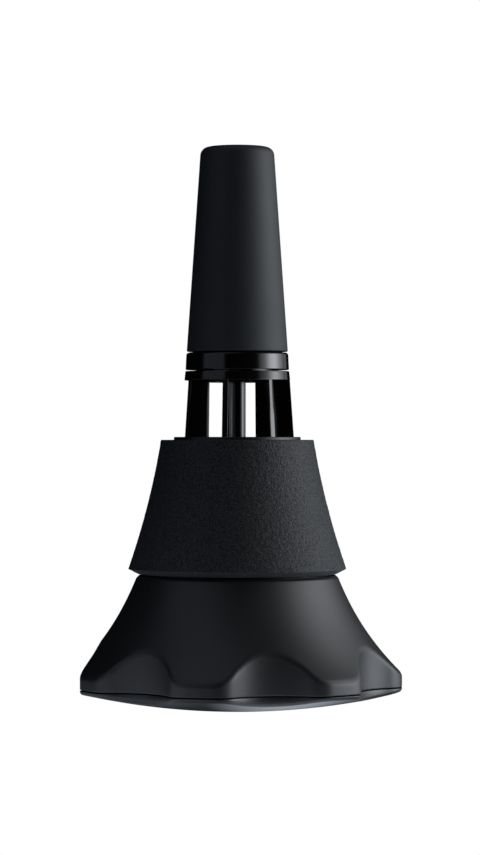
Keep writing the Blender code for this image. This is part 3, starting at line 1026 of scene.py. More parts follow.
@dataclass(frozen=True)
class WavyOutline:
    """The outline of seven lobes that grip and base share, seen from above."""

    lobes: int = 7
    lobe_radius: float = 43.1
    scallop_radius: float = 16.5
    scallop_depth: float = 6.7
    corner_radius: float = 6.5

    @property
    def scallop_centre(self) -> float:
        """How far from the axis a scallop's arc has its centre."""
        return self.lobe_radius - self.scallop_depth + self.scallop_radius

    @property
    def corner_centre(self) -> Vector:
        """The centre of a corner's arc, seen from a scallop's middle."""
        reach, centre = self.lobe_radius - self.corner_radius, self.scallop_centre
        span = self.scallop_radius + self.corner_radius
        turn = math.acos((reach**2 + centre**2 - span**2) / (2 * reach * centre))
        return Vector((reach * math.cos(turn), reach * math.sin(turn)))

    def radius(self, angle: float, wall: float = 0.0) -> float:
        """Finds the outline, set in by a wall.

        The arcs of lobe, corner and scallop run into each other without a kink.

        Args:
            angle: the angle round the axis.
            wall: the wall's thickness.

        Returns:
            The outline's distance from the axis.
        """
        spacing = math.tau / self.lobes
        turn = abs(angle % spacing - spacing / 2)
        corner, scallop = self.corner_centre, Vector((self.scallop_centre, 0.0))
        lobe_start = math.atan2(corner.y, corner.x)
        if turn >= lobe_start:
            return self.lobe_radius - wall
        radius = self.scallop_radius + wall
        meeting = scallop + (corner - scallop).normalized() * radius
        if turn <= math.atan2(meeting.y, meeting.x):
            across = scallop.x * math.sin(turn)
            return scallop.x * math.cos(turn) - math.sqrt(radius**2 - across**2)
        radius = self.corner_radius - wall
        across = corner.length * math.sin(lobe_start - turn)
        return corner.length * math.cos(lobe_start - turn) + math.sqrt(radius**2 - across**2)


@dataclass
class Base:
    """The domed plate under the grip, with the screen and the felt that lie on it."""

    outline: WavyOutline = field(default_factory=WavyOutline)
    foot: float = field(default_factory=lambda: foot_of("base_plate"))
    lip_top: float = field(default_factory=lambda: top_of("base_plate"))
    lip_height: float = 4.0
    lip_radius: float = 34.3
    lip_wall: float = 1.7
    wall: float = 2.0
    edge: float = 1.0
    edge_turn: float = 84.0
    edge_rows: int = 8
    top_edge: float = 0.08
    seat_hold: float = 0.6
    rim_hold: float = 1.0
    rest_flat: float = 10.5
    dome_radius: float = 185.0
    vent_radius: float = 0.8
    vent_columns: int = 24
    vent_circle: float = 15.5
    screen_radius: float = 19.0
    screen_thickness: float = 0.6
    felt_thickness: float = 3.0
    felt_inner: float = 20.5
    felt_outer: float = 31.0
    gap: float = 0.3
    dome_rows: int = 26

    def dome(self, radius: float) -> float:
        """Finds the dome's underside.

        Args:
            radius: the distance from the axis.

        Returns:
            The height.
        """
        sphere = self.dome_radius - math.sqrt(self.dome_radius**2 - radius**2)
        flat = self.dome_radius - math.sqrt(self.dome_radius**2 - self.rest_flat**2)
        return self.foot + max(0.0, sphere - flat)

    def over_dome(self, start: float, end: float, rise: float, steps: int) -> list[Corner]:
        """Lays corners along the dome.

        Args:
            start: the first radius.
            end: the last radius.
            rise: the height above the dome's underside.
            steps: how many stretches there are.

        Returns:
            The corners, not rounded.
        """
        radii = [start + (end - start) * step / steps for step in range(steps + 1)]
        return [Corner(radius, self.dome(radius) + rise, 0.0) for radius in radii]

    def rim_row(self, inset: float, height: float) -> Row:
        """Makes a row at the plate's rim.

        Args:
            inset: how far inside the outline it lies.
            height: its height.

        Returns:
            The row.
        """
        return lambda angle: (self.outline.radius(angle) - inset, height)

    def edge_row(self, turn: float) -> Row:
        """Makes a row of the rounding between the rim and the dome.

        Args:
            turn: how far round the edge it lies, in degrees below level.

        Returns:
            The row.
        """

        def row(angle: float) -> Point:
            """The rounding's point at an angle."""
            centre = self.outline.radius(angle) - self.edge
            out = self.edge * math.cos(math.radians(turn))
            down = self.edge * math.sin(math.radians(turn))
            return centre + out, self.dome(centre) + self.edge - down

        return row

    def dome_row(self, share: float) -> Row:
        """Makes a row of the dome between the edge and the flat in the middle.

        Args:
            share: how far it lies from the edge to the flat.

        Returns:
            The row.
        """
        inset = self.edge * (1 - math.cos(math.radians(self.edge_turn)))

        def row(angle: float) -> Point:
            """The dome's point at an angle."""
            outer = self.outline.radius(angle) - inset
            radius = outer + (self.rest_flat - outer) * share
            return radius, self.dome(radius)

        return row

    def plate(self, shop: Workshop) -> bpy.types.Object:
        """Builds the plate with its lip, rim and vents.

        Args:
            shop: the workshop.

        Returns:
            The plate.
        """
        seat = self.lip_top - self.lip_height
        lip_inner = self.lip_radius - self.lip_wall
        inside = self.over_dome(self.rest_flat, lip_inner, self.wall, steps=10)
        lip = [
            *inside[:-1],
            Corner(lip_inner, inside[-1].height, 0.4),
            Corner(lip_inner, self.lip_top, 0.25),
            Corner(self.lip_radius, self.lip_top, 0.4),
            Corner(self.lip_radius, seat, 0.2),
            Corner(self.lip_radius + self.seat_hold, seat, 0.0),
        ]
        rows = [steady((0.0, self.foot + self.wall))]
        rows += [steady(point) for point in rounded(lip, looped=False)]
        edge = self.top_edge
        rows += [self.rim_row(inset, seat) for inset in (self.rim_hold, 3 * edge, edge)]
        rows.append(self.rim_row(edge * 0.3, seat - edge * 0.3))
        rows.append(self.rim_row(0.0, seat - edge))
        turns = [self.edge_turn * step / self.edge_rows for step in range(self.edge_rows + 1)]
        rows += [self.edge_row(turn) for turn in turns]
        rows += [self.dome_row(step / self.dome_rows) for step in range(1, self.dome_rows + 1)]
        rows.append(steady((0.0, self.foot)))
        plate = shell("base_moulding", rows, LOBED_COLUMNS)
        combine(plate, self.vents(shop), "DIFFERENCE")
        return plate

    def vents(self, shop: Workshop) -> bpy.types.Object:
        """Builds the drills of the seven vents.

        Args:
            shop: the workshop.

        Returns:
            The drills, as one object.
        """
        bm = bmesh.new()
        bmesh.ops.create_cone(
            bm,
            cap_ends=True,
            segments=self.vent_columns,
            radius1=self.vent_radius * MM,
            radius2=self.vent_radius * MM,
            depth=4 * self.wall * MM,
            matrix=Matrix.Translation((self.vent_circle * MM, 0.0, 0.0)),
        )
        drills = from_bmesh("vent_drills", bm)
        return shop.round_axis(drills, self.outline.lobes, 0.5, shop.finishes.base)

    def screen(self) -> bpy.types.Object:
        """Builds the cloth disc over the vents.

        Returns:
            The disc.
        """
        low = self.wall + self.gap
        high = low + self.screen_thickness
        over = self.over_dome(self.rest_flat, self.screen_radius, high, steps=6)
        under = self.over_dome(self.screen_radius, self.rest_flat, low, steps=6)
        corners = [Corner(0.0, self.foot + high), *over, *under, Corner(0.0, self.foot + low)]
        return turned("screen_disc", corners, PLAIN_COLUMNS)

    def felt(self) -> bpy.types.Object:
        """Builds the ring of felt with its soft edges.

        Returns:
            The ring.
        """
        low = self.wall + self.gap
        high = low + self.felt_thickness
        over = self.over_dome(self.felt_inner, self.felt_outer, high, steps=8)
        under = self.over_dome(self.felt_outer, self.felt_inner, low, steps=8)
        return turned("base_felt_ring", soft_ends(over) + soft_ends(under), PLAIN_COLUMNS)

    def build(self, shop: Workshop) -> None:
        """Builds and dresses the base's pieces.

        Args:
            shop: the workshop.
        """
        dress, cloth = shop.dress, shop.finishes.cloth
        dress(self.plate(shop), shop.finishes.base, Slot.BASE, Body.GRIP, ["base_plate"])
        disc = dress(self.screen(), cloth, Slot.CLOTH, Body.GRIP, ["vent_screen"])
        felt = dress(self.felt(), shop.finishes.felt, Slot.FELT, Body.GRIP, ["base_felt"])


@dataclass
class Grip:
    """The lobed shell that a player turns, hollow, with a threaded mouth."""

    outline: WavyOutline = field(default_factory=WavyOutline)
    foot: float = field(default_factory=lambda: foot_of("grip_shell"))
    top: float = field(default_factory=lambda: top_of("grip_shell"))
    thread_rise: float = 2.15
    crest_softness: float = 0.9
    crown_height: float = 4.15
    crown_inset: float = 0.8
    top_radius: float = 25.8
    chamfer: float = 0.65
    top_slope: float = 0.42
    flare_power: float = 2.4
    wall: float = 1.8
    mouth_radius: float = 24.3
    ledge_drop: float = 8.5
    ledge_radius: float = 21.0
    ledge_wall: float = 1.6
    foot_edge: float = 0.15
    row_height: float = 0.33
    first_row: float = 1.3
    mouth_hold: float = 1.0
    wall_hold: float = 1.5

    @property
    def ledge(self) -> float:
        """The height of the ledge that the seal lies on."""
        return self.top - self.ledge_drop

    @property
    def reach(self) -> float:
        """The height of the flare, from the chamfer to the crown."""
        return self.top - self.foot - self.chamfer - self.crown_height

    def flare(self, depth: float) -> tuple[float, float]:
        """Follows the flare down from the chamfer.

        Args:
            depth: the depth below the chamfer.

        Returns:
            The flare's radius and slope.
        """
        first = self.top_radius + self.chamfer
        swell = self.outline.lobe_radius - self.crown_inset - first - self.top_slope * self.reach
        share = max(depth, 0.0) / self.reach
        radius = first + self.top_slope * depth + swell * share**self.flare_power
        bend = swell * self.flare_power / self.reach * share ** (self.flare_power - 1)
        return radius, self.top_slope + bend

    def outer_row(self, height: float, inset: float = 0.0) -> Row:
        """Makes a row of the shell's outside, where the flare runs into the outline.

        Args:
            height: the row's height.
            inset: how far it is set in.

        Returns:
            The row.
        """
        flared = self.flare(self.top - self.chamfer - height)[0]

        def row(angle: float) -> Point:
            """The outside's point at an angle."""
            edge = self.outline.radius(angle)
            return smooth_min(flared, edge, self.crest_softness) - inset, height

        return row

    def inner_row(self, depth: float) -> Row:
        """Makes a row of the shell's inside, a wall behind the outside.

        Args:
            depth: the depth below the chamfer of the point outside.

        Returns:
            The row.
        """
        radius, slope = self.flare(depth)
        length = math.hypot(1.0, slope)
        height = self.top - self.chamfer - depth - self.wall * slope / length
        flared = radius - self.wall / length

        def row(angle: float) -> Point:
            """The inside's point at an angle."""
            edge = self.outline.radius(angle, self.wall)
            return smooth_min(flared, edge, self.crest_softness), height

        return row

    def brow(self) -> list[Row]:
        """Makes the rows of the mouth's top, out to the flare.

        Returns:
            The rows.
        """
        under_chamfer = self.top - self.chamfer
        corners = [
            Corner(self.mouth_radius, self.ledge + self.mouth_hold, 0.0),
            Corner(self.mouth_radius, self.top, 0.3),
            Corner(self.top_radius, self.top, 0.12),
            Corner(self.top_radius + self.chamfer, under_chamfer, 0.15),
            Corner(self.flare(self.mouth_hold)[0], under_chamfer - self.mouth_hold, 0.0),
        ]
        return [steady(point) for point in rounded(corners, looped=False)]

    def outside(self) -> list[Row]:
        """Makes the rows of the flare and the lobes, down to the foot's broken edge.

        Returns:
            The rows.
        """
        start = self.top - self.chamfer - self.first_row
        end = self.foot + 2 * self.foot_edge
        steps = round((start - end) / self.row_height)
        rows = [self.outer_row(start + (end - start) * step / steps) for step in range(steps + 1)]
        for turn in (0, 30, 60, 90):
            out, down = math.cos(math.radians(turn)), math.sin(math.radians(turn))
            height = self.foot + self.foot_edge * (1 - down)
            rows.append(self.outer_row(height, self.foot_edge * (1 - out)))
        return rows

    def inside(self) -> list[Row]:
        """Makes the rows of the hollow, from the foot up to the ledge and the mouth.

        Returns:
            The rows.
        """
        under = self.ledge - self.ledge_wall
        rows = [
            lambda angle: (self.outline.radius(angle, self.wall), self.foot),
            lambda angle: (self.outline.radius(angle, self.wall), self.foot + self.wall_hold),
        ]
        depths = [self.reach * share for share in (1.0, 0.9, 0.8, 0.7, 0.6, 0.52, 0.45)]
        rows += [self.inner_row(depth) for depth in depths]
        radius, slope = self.flare(self.top - self.chamfer - under)
        corners = [
            Corner(self.flare(depths[-1])[0] - self.wall, under - self.wall_hold, 0.0),
            Corner(radius - self.wall * math.hypot(1.0, slope), under, 0.5),
            Corner(self.ledge_radius, under, 0.2),
            Corner(self.ledge_radius, self.ledge, 0.2),
            Corner(self.mouth_radius, self.ledge, 0.2),
            Corner(self.mouth_radius, self.ledge + self.mouth_hold, 0.0),
        ]
        return rows + [steady(point) for point in rounded(corners, looped=False)[1:-1]]

    def build(self, shop: Workshop) -> None:
        """Builds and dresses the grip's pieces.

        Args:
            shop: the workshop.
        """
        finish = shop.finishes.grip
        rows = self.brow() + self.outside() + self.inside()
        moulding = shell("grip_moulding", rows, LOBED_COLUMNS)
        shop.dress(moulding, finish, Slot.GRIP, Body.GRIP, ["grip_shell"])
        start = foot_of("foam_carrier") + self.thread_rise
        ridge = ScrewThread("grip_thread", self.mouth_radius, start, outward=False)
        shop.dress(ridge.build(shop, finish), finish, Slot.GRIP, Body.GRIP)


@dataclass
class FoamLine:
    """The flare that foam, carrier and lining follow, a wall apart from each other."""

    top: float = field(default_factory=lambda: top_of("sealing_foam"))
    top_radius: float = 20.05
    bottom_radius: float = 28.6
    top_slope: float = 0.16
    height: float = 33.75

    def at(self, depth: float, inset: float = 0.0) -> Point:
        """Finds a point on the line, set in from the foam's face.

        Args:
            depth: the depth below the foam's top.
            inset: how far behind the face it lies.

        Returns:
            The radius and height.
        """
        bow = self.bottom_radius - self.top_radius - self.top_slope * self.height
        share = depth / self.height
        radius = self.top_radius + self.top_slope * depth + bow * share**2
        slope = self.top_slope + 2 * bow * share / self.height
        length = math.hypot(1.0, slope)
        return radius - inset / length, self.top - depth - inset * slope / length

    def stretch(self, start: float, end: float, inset: float, steps: int) -> list[Corner]:
        """Lays corners along the line.

        Args:
            start: the first depth.
            end: the last depth.
            inset: how far behind the foam's face they lie.
            steps: how many stretches there are.

        Returns:
            The corners, not rounded.
        """
        depths = [start + (end - start) * step / steps for step in range(steps + 1)]
        return [Corner(*self.at(depth, inset), 0.0) for depth in depths]


@dataclass
class Carrier:
    """The flared tube under the foam, with foam, lining and thread."""

    line: FoamLine = field(default_factory=FoamLine)
    top: float = field(default_factory=lambda: top_of("foam_carrier"))
    foot: float = field(default_factory=lambda: foot_of("foam_carrier"))
    shoulder: float = field(default_factory=lambda: foot_of("sealing_foam"))
    foam_thickness: float = 3.2
    foam_end_run: float = 4.05
    foam_end_radius: float = 25.8
    foam_edge: float = 0.35
    foam_rows: int = 110
    foam_columns: int = 540
    grain_depth: float = 0.07
    grain_spacing: float = 0.9
    grain_fade: float = 0.6
    grain_octaves: int = 3
    gap: float = 0.3
    wall: float = 1.6
    spigot_radius: float = 23.45
    seat_radius: float = 12.494
    pocket_radius: float = 15.494
    pocket_depth: float = 2.9
    roof_drop: float = 4.0
    lining_start: float = 8.0
    lining_end: float = 27.0
    lining_thickness: float = 2.0
    thread_rise: float = 0.9

    @property
    def skin(self) -> float:
        """How far behind the foam's face the carrier's outside lies."""
        return self.foam_thickness + self.gap

    def foam(self) -> bpy.types.Object:
        """Turns the foam ring and roughens it as a skived face is.

        Returns:
            The ring.
        """
        line = self.line
        outer = line.stretch(0.0, line.height, 0.0, self.foam_rows)
        inner_end = line.height - self.foam_end_run
        inner = line.stretch(inner_end, self.foam_edge, self.foam_thickness, steps=8)
        last, foot = outer[-1], Corner(self.foam_end_radius, self.shoulder, 0.25)
        end = []
        for share in (0.15, 0.35, 0.55, 0.75):
            place = last.place.lerp(foot.place, share)
            end.append(Corner(place.x, place.y, 0.0))
        corners = [
            Corner(outer[0].radius, outer[0].height, self.foam_edge),
            *outer[2:-2],
            Corner(last.radius, last.height, 0.25),
            *end,
            foot,
            *inner,
            Corner(line.at(0.0, self.foam_thickness)[0], line.top, self.foam_edge),
        ]
        ring = turned("foam_ring", corners, self.foam_columns)
        self.roughen(ring)
        return ring

    def roughen(self, ring: bpy.types.Object) -> None:
        """Sinks the foam's outer half a little, unevenly.

        Args:
            ring: the foam ring.
        """
        line, finer = self.line, 2.0
        for vert in ring.data.vertices:
            level = Vector((vert.co.x, vert.co.y, 0.0))
            middle = line.at(line.top - vert.co.z / MM, self.foam_thickness / 2)[0]
            if level.length / MM > middle:
                spot = vert.co / (self.grain_spacing * MM)
                rough = noise.fractal(spot, self.grain_fade, finer, self.grain_octaves)
                vert.co += level.normalized() * self.grain_depth * MM * (rough - 1.0)

    def tube(self) -> bpy.types.Object:
        """Turns the carrier.

        Returns:
            The carrier.
        """
        line = self.line
        inner_end = line.height - self.foam_end_run
        outer = line.stretch(0.0, inner_end, self.skin, steps=16)
        inner = line.stretch(inner_end, self.roof_drop, self.skin + self.wall, steps=16)
        spigot_inner = self.spigot_radius - self.wall
        seat = self.top - self.pocket_depth
        corners = [
            Corner(outer[0].radius, self.top, 0.25),
            *outer,
            Corner(self.foam_end_radius - self.gap, self.shoulder, 0.2),
            Corner(self.spigot_radius, self.shoulder, 0.2),
            Corner(self.spigot_radius, self.foot, 0.3),
            Corner(spigot_inner, self.foot, 0.3),
            Corner(spigot_inner, self.shoulder + self.wall, 0.5),
            *inner[:-1],
            Corner(inner[-1].radius, inner[-1].height, 0.8),
            Corner(self.seat_radius, inner[-1].height, 0.2),
            Corner(self.seat_radius, seat, 0.2),
            Corner(self.pocket_radius, seat, 0.2),
            Corner(self.pocket_radius, self.top, 0.1),
        ]
        return turned("carrier_moulding", corners)

    def lining(self) -> bpy.types.Object:
        """Turns the felt lining.

        Returns:
            The lining.
        """
        start, end = self.lining_start, self.lining_end
        outside = self.skin + self.wall + self.gap
        outer = self.line.stretch(start, end, outside, steps=8)
        inner = self.line.stretch(end, start, outside + self.lining_thickness, steps=8)
        return turned("lining_felt", soft_ends(outer) + soft_ends(inner), PLAIN_COLUMNS)

    def build(self, shop: Workshop) -> None:
        """Builds and dresses the carrier's pieces.

        Args:
            shop: the workshop.
        """
        finishes, dress = shop.finishes, shop.dress
        dress(self.tube(), finishes.carrier, Slot.CARRIER, Body.UPPER, ["foam_carrier"])
        start = self.foot + self.thread_rise
        thread = ScrewThread("carrier_thread", self.spigot_radius, start, outward=True)
        ridge = thread.build(shop, finishes.carrier)
        dress(ridge, finishes.carrier, Slot.CARRIER, Body.UPPER)
        foam = dress(self.foam(), finishes.foam, Slot.FOAM, Body.UPPER, ["sealing_foam"])
        lining = dress(self.lining(), finishes.felt, Slot.FELT, Body.UPPER, ["carrier_lining"])


@dataclass
class FlatSeal:
    """A flat rubber ring that one piece presses on another."""

    name: str
    node: str
    body: Body
    inner: float
    outer: float
    edge: float = 0.25

    def build(self, shop: Workshop) -> None:
        """Turns and dresses the ring.

        Args:
            shop: the workshop.
        """
        foot, top = foot_of(self.node), top_of(self.node)
        corners = [
            Corner(self.outer, top, self.edge),
            Corner(self.outer, foot, self.edge),
            Corner(self.inner, foot, self.edge),
            Corner(self.inner, top, self.edge),
        ]
        ring = turned(self.name, corners, PLAIN_COLUMNS)
        shop.dress(ring, shop.finishes.seal, Slot.SEAL, self.body, [self.node])


@dataclass
class Cage:
    """Floor, seven fins, ring and spigot in one moulding, with the air tube in it."""

    floor: float = field(default_factory=lambda: foot_of("cage"))
    spigot_top: float = field(default_factory=lambda: top_of("cage"))
    floor_thickness: float = 2.6
    floor_radius: float = 15.194
    floor_hole: float = 3.8
    fins: int = 7
    fin_height: float = 14.8
    fin_thickness: float = 1.5
    fin_edge: float = 0.12
    fin_foot: tuple[float, float] = (8.6, 14.854)
    fin_top: tuple[float, float] = (8.4, 13.75)
    fin_sink: float = 0.5
    ring_height: float = 2.4
    ring_radius: float = 13.85
    ring_taper: float = 0.25
    ring_lip: float = 0.5
    bore: float = 8.1
    spigot_radius: float = 9.35
    seal_seat_radius: float = 12.15
    seal_seat_drop: float = 1.4
    thread_rise: float = 3.3
    tube_radius: float = 2.2
    tube_bore: float = 1.5
    bush_neck: float = 3.5
    bush_flange: float = 4.9
    bush_flange_thickness: float = 1.0
    gap: float = 0.3

    @property
    def floor_top(self) -> float:
        """The height of the disc that the fins stand on."""
        return self.floor + self.floor_thickness

    @property
    def ring_foot(self) -> float:
        """The height of the ring's underside."""
        return self.floor_top + self.fin_height

    @property
    def ring_top(self) -> float:
        """The height of the ring's top."""
        return self.ring_foot + self.ring_height

    def fin(self) -> bpy.types.Object:
        """Builds the fin at +X, tapering, with rounded edges.

        Returns:
            The fin.
        """
        bm = bmesh.new()
        for vert in bmesh.ops.create_cube(bm, size=1.0)["verts"]:
            high, outside = vert.co.z > 0, vert.co.x > 0
            radius = (self.fin_top if high else self.fin_foot)[1 if outside else 0]
            height = self.ring_foot + self.fin_sink if high else self.floor_top - self.fin_sink
            side = math.copysign(self.fin_thickness / 2, vert.co.y)
            vert.co = Vector((radius, side, height)) * MM
        upright = [edge for edge in bm.edges if abs(edge.verts[0].co.z - edge.verts[1].co.z) > MM]
        bmesh.ops.bevel(
            bm,
            geom=upright,
            offset=self.fin_edge * MM,
            segments=FILLET_STEPS,
            profile=0.5,
            affect="EDGES",
        )
        return from_bmesh("fins", bm)

    def moulding(self, shop: Workshop) -> bpy.types.Object:
        """Joins ring, floor and fins.

        Args:
            shop: the workshop.

        Returns:
            The cage.
        """
        seat = self.ring_top - self.seal_seat_drop
        ring = [
            Corner(self.spigot_radius, self.spigot_top, 0.35),
            Corner(self.spigot_radius, seat, 0.15),
            Corner(self.seal_seat_radius, seat, 0.15),
            Corner(self.seal_seat_radius, self.ring_top, 0.12),
            Corner(self.ring_radius - self.ring_taper, self.ring_top, 0.2),
            Corner(self.ring_radius, self.ring_foot, 0.15),
            Corner(self.spigot_radius, self.ring_foot, 0.1),
            Corner(self.spigot_radius, self.ring_foot - self.ring_lip, 0.1),
            Corner(self.bore, self.ring_foot - self.ring_lip, 0.15),
            Corner(self.bore, self.spigot_top, 0.3),
        ]
        floor = [
            Corner(self.floor_radius, self.floor_top, 0.25),
            Corner(self.floor_radius, self.floor, 0.2),
            Corner(self.floor_hole, self.floor, 0.2),
            Corner(self.floor_hole, self.floor_top, 0.2),
        ]
        cage = turned("cage_moulding", ring)
        fins = shop.round_axis(self.fin(), self.fins, 0.0, shop.finishes.gloss)
        combine(cage, fins, "UNION")
        combine(cage, turned("cage_floor", floor), "UNION")
        return cage

    def tube(self) -> bpy.types.Object:
        """Turns the slim air tube.

        Returns:
            The tube.
        """
        foot, top = foot_of("air_tube"), top_of("air_tube")
        corners = [
            Corner(self.tube_radius, top, 0.2),
            Corner(self.tube_radius, foot, 0.2),
            Corner(self.tube_bore, foot, 0.1),
            Corner(self.tube_bore, top, 0.1),
        ]
        return turned("air_tube_drawn", corners, PLAIN_COLUMNS)

    def bush(self) -> bpy.types.Object:
        """Turns the rubber bush that grips the tube.

        Returns:
            The bush.
        """
        foot, top = foot_of("tube_bush"), top_of("tube_bush")
        inner = self.tube_radius + self.gap
        under = foot + self.bush_flange_thickness
        corners = [
            Corner(self.bush_neck, top, 0.25),
            Corner(self.bush_neck, under, 0.1),
            Corner(self.bush_flange, under, 0.25),
            Corner(self.bush_flange, foot, 0.25),
            Corner(inner, foot, 0.15),
            Corner(inner, top, 0.15),
        ]
        return turned("tube_bush_rubber", corners, PLAIN_COLUMNS)

    def build(self, shop: Workshop) -> None:
        """Builds and dresses the cage's pieces.

        Args:
            shop: the workshop.
        """
        gloss, dress = shop.finishes.gloss, shop.dress
        dress(self.moulding(shop), gloss, Slot.GLOSS, Body.UPPER, ["cage"])
        start = self.ring_top + self.thread_rise
        thread = ScrewThread("cage_thread", self.spigot_radius, start, outward=True)
        dress(thread.build(shop, gloss), gloss, Slot.GLOSS, Body.UPPER)
        dress(self.tube(), shop.finishes.tube, Slot.TUBE, Body.UPPER, ["air_tube"])
        dress(self.bush(), shop.finishes.seal, Slot.SEAL, Body.UPPER, ["tube_bush"])


@dataclass
class Cap:
    """The rigid cap, its soft sleeve and the felt in its closed end."""

    foot: float = field(default_factory=lambda: foot_of("cap_core"))
    sleeve_foot: float = field(default_factory=lambda: foot_of("cap_sleeve"))
    top: float = field(default_factory=lambda: top_of("cap_sleeve"))
    thread_drop: float = 5.45
    foot_radius: float = 13.25
    top_radius: float = 9.55
    corner: float = 2.3
    corner_end: float = 4.0
    end_hold: float = 0.3
    sleeve_wall: float = 1.3
    core_wall: float = 1.4
    gap: float = 0.3
    collar_radius: float = 13.55
    collar_taper: float = 0.2
    collar_chamfer: float = 0.4
    bore: float = 10.2
    bore_depth: float = 8.9

    def radius(self, height: float) -> float:
        """Finds the sleeve's outside along its taper.

        Args:
            height: the height.

        Returns:
            The radius.
        """
        share = (height - self.sleeve_foot) / (self.top - self.sleeve_foot)
        return self.foot_radius + (self.top_radius - self.foot_radius) * share

    def end_line(self, inset: float, steps: int = 12) -> list[Corner]:
        """Follows the closed end from the axis to the side, set in from the sleeve.

        Args:
            inset: how far inside the sleeve's face it lies.
            steps: how finely the corner is drawn.

        Returns:
            The corners.
        """
        top = self.top - inset
        turn_radius = self.corner - inset
        if turn_radius <= 0:
            return [Corner(0.0, top, 0.0), Corner(self.radius(top) - inset, top, 0.3)]
        middle = self.top - self.corner
        centre = self.radius(middle) - self.corner
        line = [Corner(0.0, top, 0.0), Corner(centre - self.end_hold, top, 0.0)]
        for step in range(steps + 1):
            turn = math.radians(90 + (self.corner_end - 90) * step / steps)
            out, up = turn_radius * math.cos(turn), turn_radius * math.sin(turn)
            line.append(Corner(centre + out, middle + up, 0.0))
        return line

    def sleeve(self) -> bpy.types.Object:
        """Turns the soft sleeve.

        Returns:
            The sleeve.
        """
        corners = [
            *self.end_line(0.0),
            Corner(self.foot_radius, self.sleeve_foot, 0.3),
            Corner(self.foot_radius - self.sleeve_wall, self.sleeve_foot, 0.2),
            *self.end_line(self.sleeve_wall)[::-1],
        ]
        return turned("cap_sleeve_skin", corners)

    def core(self) -> bpy.types.Object:
        """Turns the rigid cap with its collar.

        Returns:
            The cap.
        """
        skin = self.sleeve_wall + self.gap
        wall = skin + self.core_wall
        collar_top = self.sleeve_foot - self.gap
        upper = self.collar_radius - self.collar_taper
        bore_end = self.foot + self.bore_depth
        corners = [
            *self.end_line(skin),
            Corner(self.foot_radius - skin, collar_top, 0.15),
            Corner(upper - self.collar_chamfer, collar_top, 0.1),
            Corner(upper, collar_top - self.collar_chamfer, 0.15),
            Corner(self.collar_radius, self.foot, 0.2),
            Corner(self.bore, self.foot, 0.3),
            Corner(self.bore, bore_end, 0.2),
            Corner(self.radius(bore_end) - wall, bore_end, 0.3),
            *self.end_line(wall)[::-1],
        ]
        return turned("cap_moulding", corners)

    def damper(self) -> bpy.types.Object:
        """Turns the felt plug.

        Returns:
            The plug.
        """
        foot, top = foot_of("cap_damper"), top_of("cap_damper")
        inset = self.sleeve_wall + self.core_wall + 2 * self.gap
        corners = [
            Corner(0.0, top, 0.0),
            Corner(self.radius(top) - inset, top, 0.6),
            Corner(self.radius(foot) - inset, foot, 0.6),
            Corner(0.0, foot, 0.0),
        ]
        return turned("damper_felt", corners, PLAIN_COLUMNS)

    def build(self, shop: Workshop) -> None:
        """Builds and dresses the cap's pieces.

        Args:
            shop: the workshop.
        """
        gloss, dress = shop.finishes.gloss, shop.dress
        dress(self.sleeve(), shop.finishes.sleeve, Slot.SLEEVE, Body.CAP, ["cap_sleeve"])
        dress(self.core(), gloss, Slot.GLOSS, Body.CAP, ["cap_core"])
        start = top_of("cage") - self.thread_drop
        thread = ScrewThread("cap_thread", self.bore, start, outward=False)
        dress(thread.build(shop, gloss), gloss, Slot.GLOSS, Body.CAP)
        plug = dress(self.damper(), shop.finishes.felt, Slot.FELT, Body.CAP, ["cap_damper"])


@dataclass(frozen=True)
class SoftBox:
    """A studio light with a soft face, which looks at a target.

    The face may be graded across, as a diffuser is on both sides of its lamp.
    """

    name: str
    place: tuple[float, float, float]
    size: tuple[float, float]
    radiance: float
    color: str = "#ffffff"
    target: tuple[float, float, float] = (0.0, 0.0, 0.07)
    levels: Sequence[Point] = ()

    def build(self) -> None:
        """Makes the light and turns it to its target."""
        light = bpy.data.lights.new(self.name, "AREA")
        light.shape = "RECTANGLE"
        light.size, light.size_y = self.size
        light.energy = self.radiance * math.pi * light.size * light.size_y
        light.color = linear(self.color)[:3]
        if self.levels:
            self.grade(light)
        lamp = bpy.data.objects.new(self.name, light)
        lamp.location = self.place
        look = Vector(self.target) - Vector(self.place)
        lamp.rotation_euler = look.to_track_quat("-Z", "Y").to_euler()
        bpy.context.scene.collection.objects.link(lamp)

    def grade(self, light: bpy.types.AreaLight) -> None:
        """Grades the light's face from side to side.

        Args:
            light: the light.
        """
        light.use_nodes = True
        tree = light.node_tree
        spot = add_node(tree, "ShaderNodeNewGeometry").outputs["Parametric"]
        axes = add_node(tree, "ShaderNodeSeparateXYZ", {0: spot})
        ramp = add_node(tree, "ShaderNodeValToRGB", {0: axes.outputs[0]})
        steps = ramp.color_ramp.elements
        given = len(steps)
        for index, (share, level) in enumerate(self.levels):
            step = steps[index] if index < given else steps.new(share)
            step.position, step.color = share, (level, level, level, 1.0)
        tree.links.new(ramp.outputs[0], tree.nodes["Emission"].inputs["Strength"])


@dataclass(frozen=True)
class TableLamp:
    """A lamp under the light table, which makes a soft spot on the paper."""

    place: tuple[float, float, float]
    core: float
    reach: float
    glow: float

    def level(
        self, tree: bpy.types.NodeTree, place: bpy.types.NodeSocket, below: Level
    ) -> bpy.types.NodeSocket:
        """Adds the lamp's glow to the glow of the others.

        Args:
            tree: the paper's node tree.
            place: where on the table the paper is shaded.
            below: the others' glow.

        Returns:
            The glow of all of them.
        """
        away = add_node(
            tree, "ShaderNodeVectorMath", {0: place, 1: self.place}, operation="DISTANCE"
        )
        spot = add_node(
            tree,
            "ShaderNodeMapRange",
            {0: away.outputs["Value"], 1: self.core, 2: self.reach, 3: self.glow, 4: 0.0},
            interpolation_type="SMOOTHSTEP",
        )
        return add_node(tree, "ShaderNodeMath", {0: spot.outputs[0], 1: below}).outputs[0]


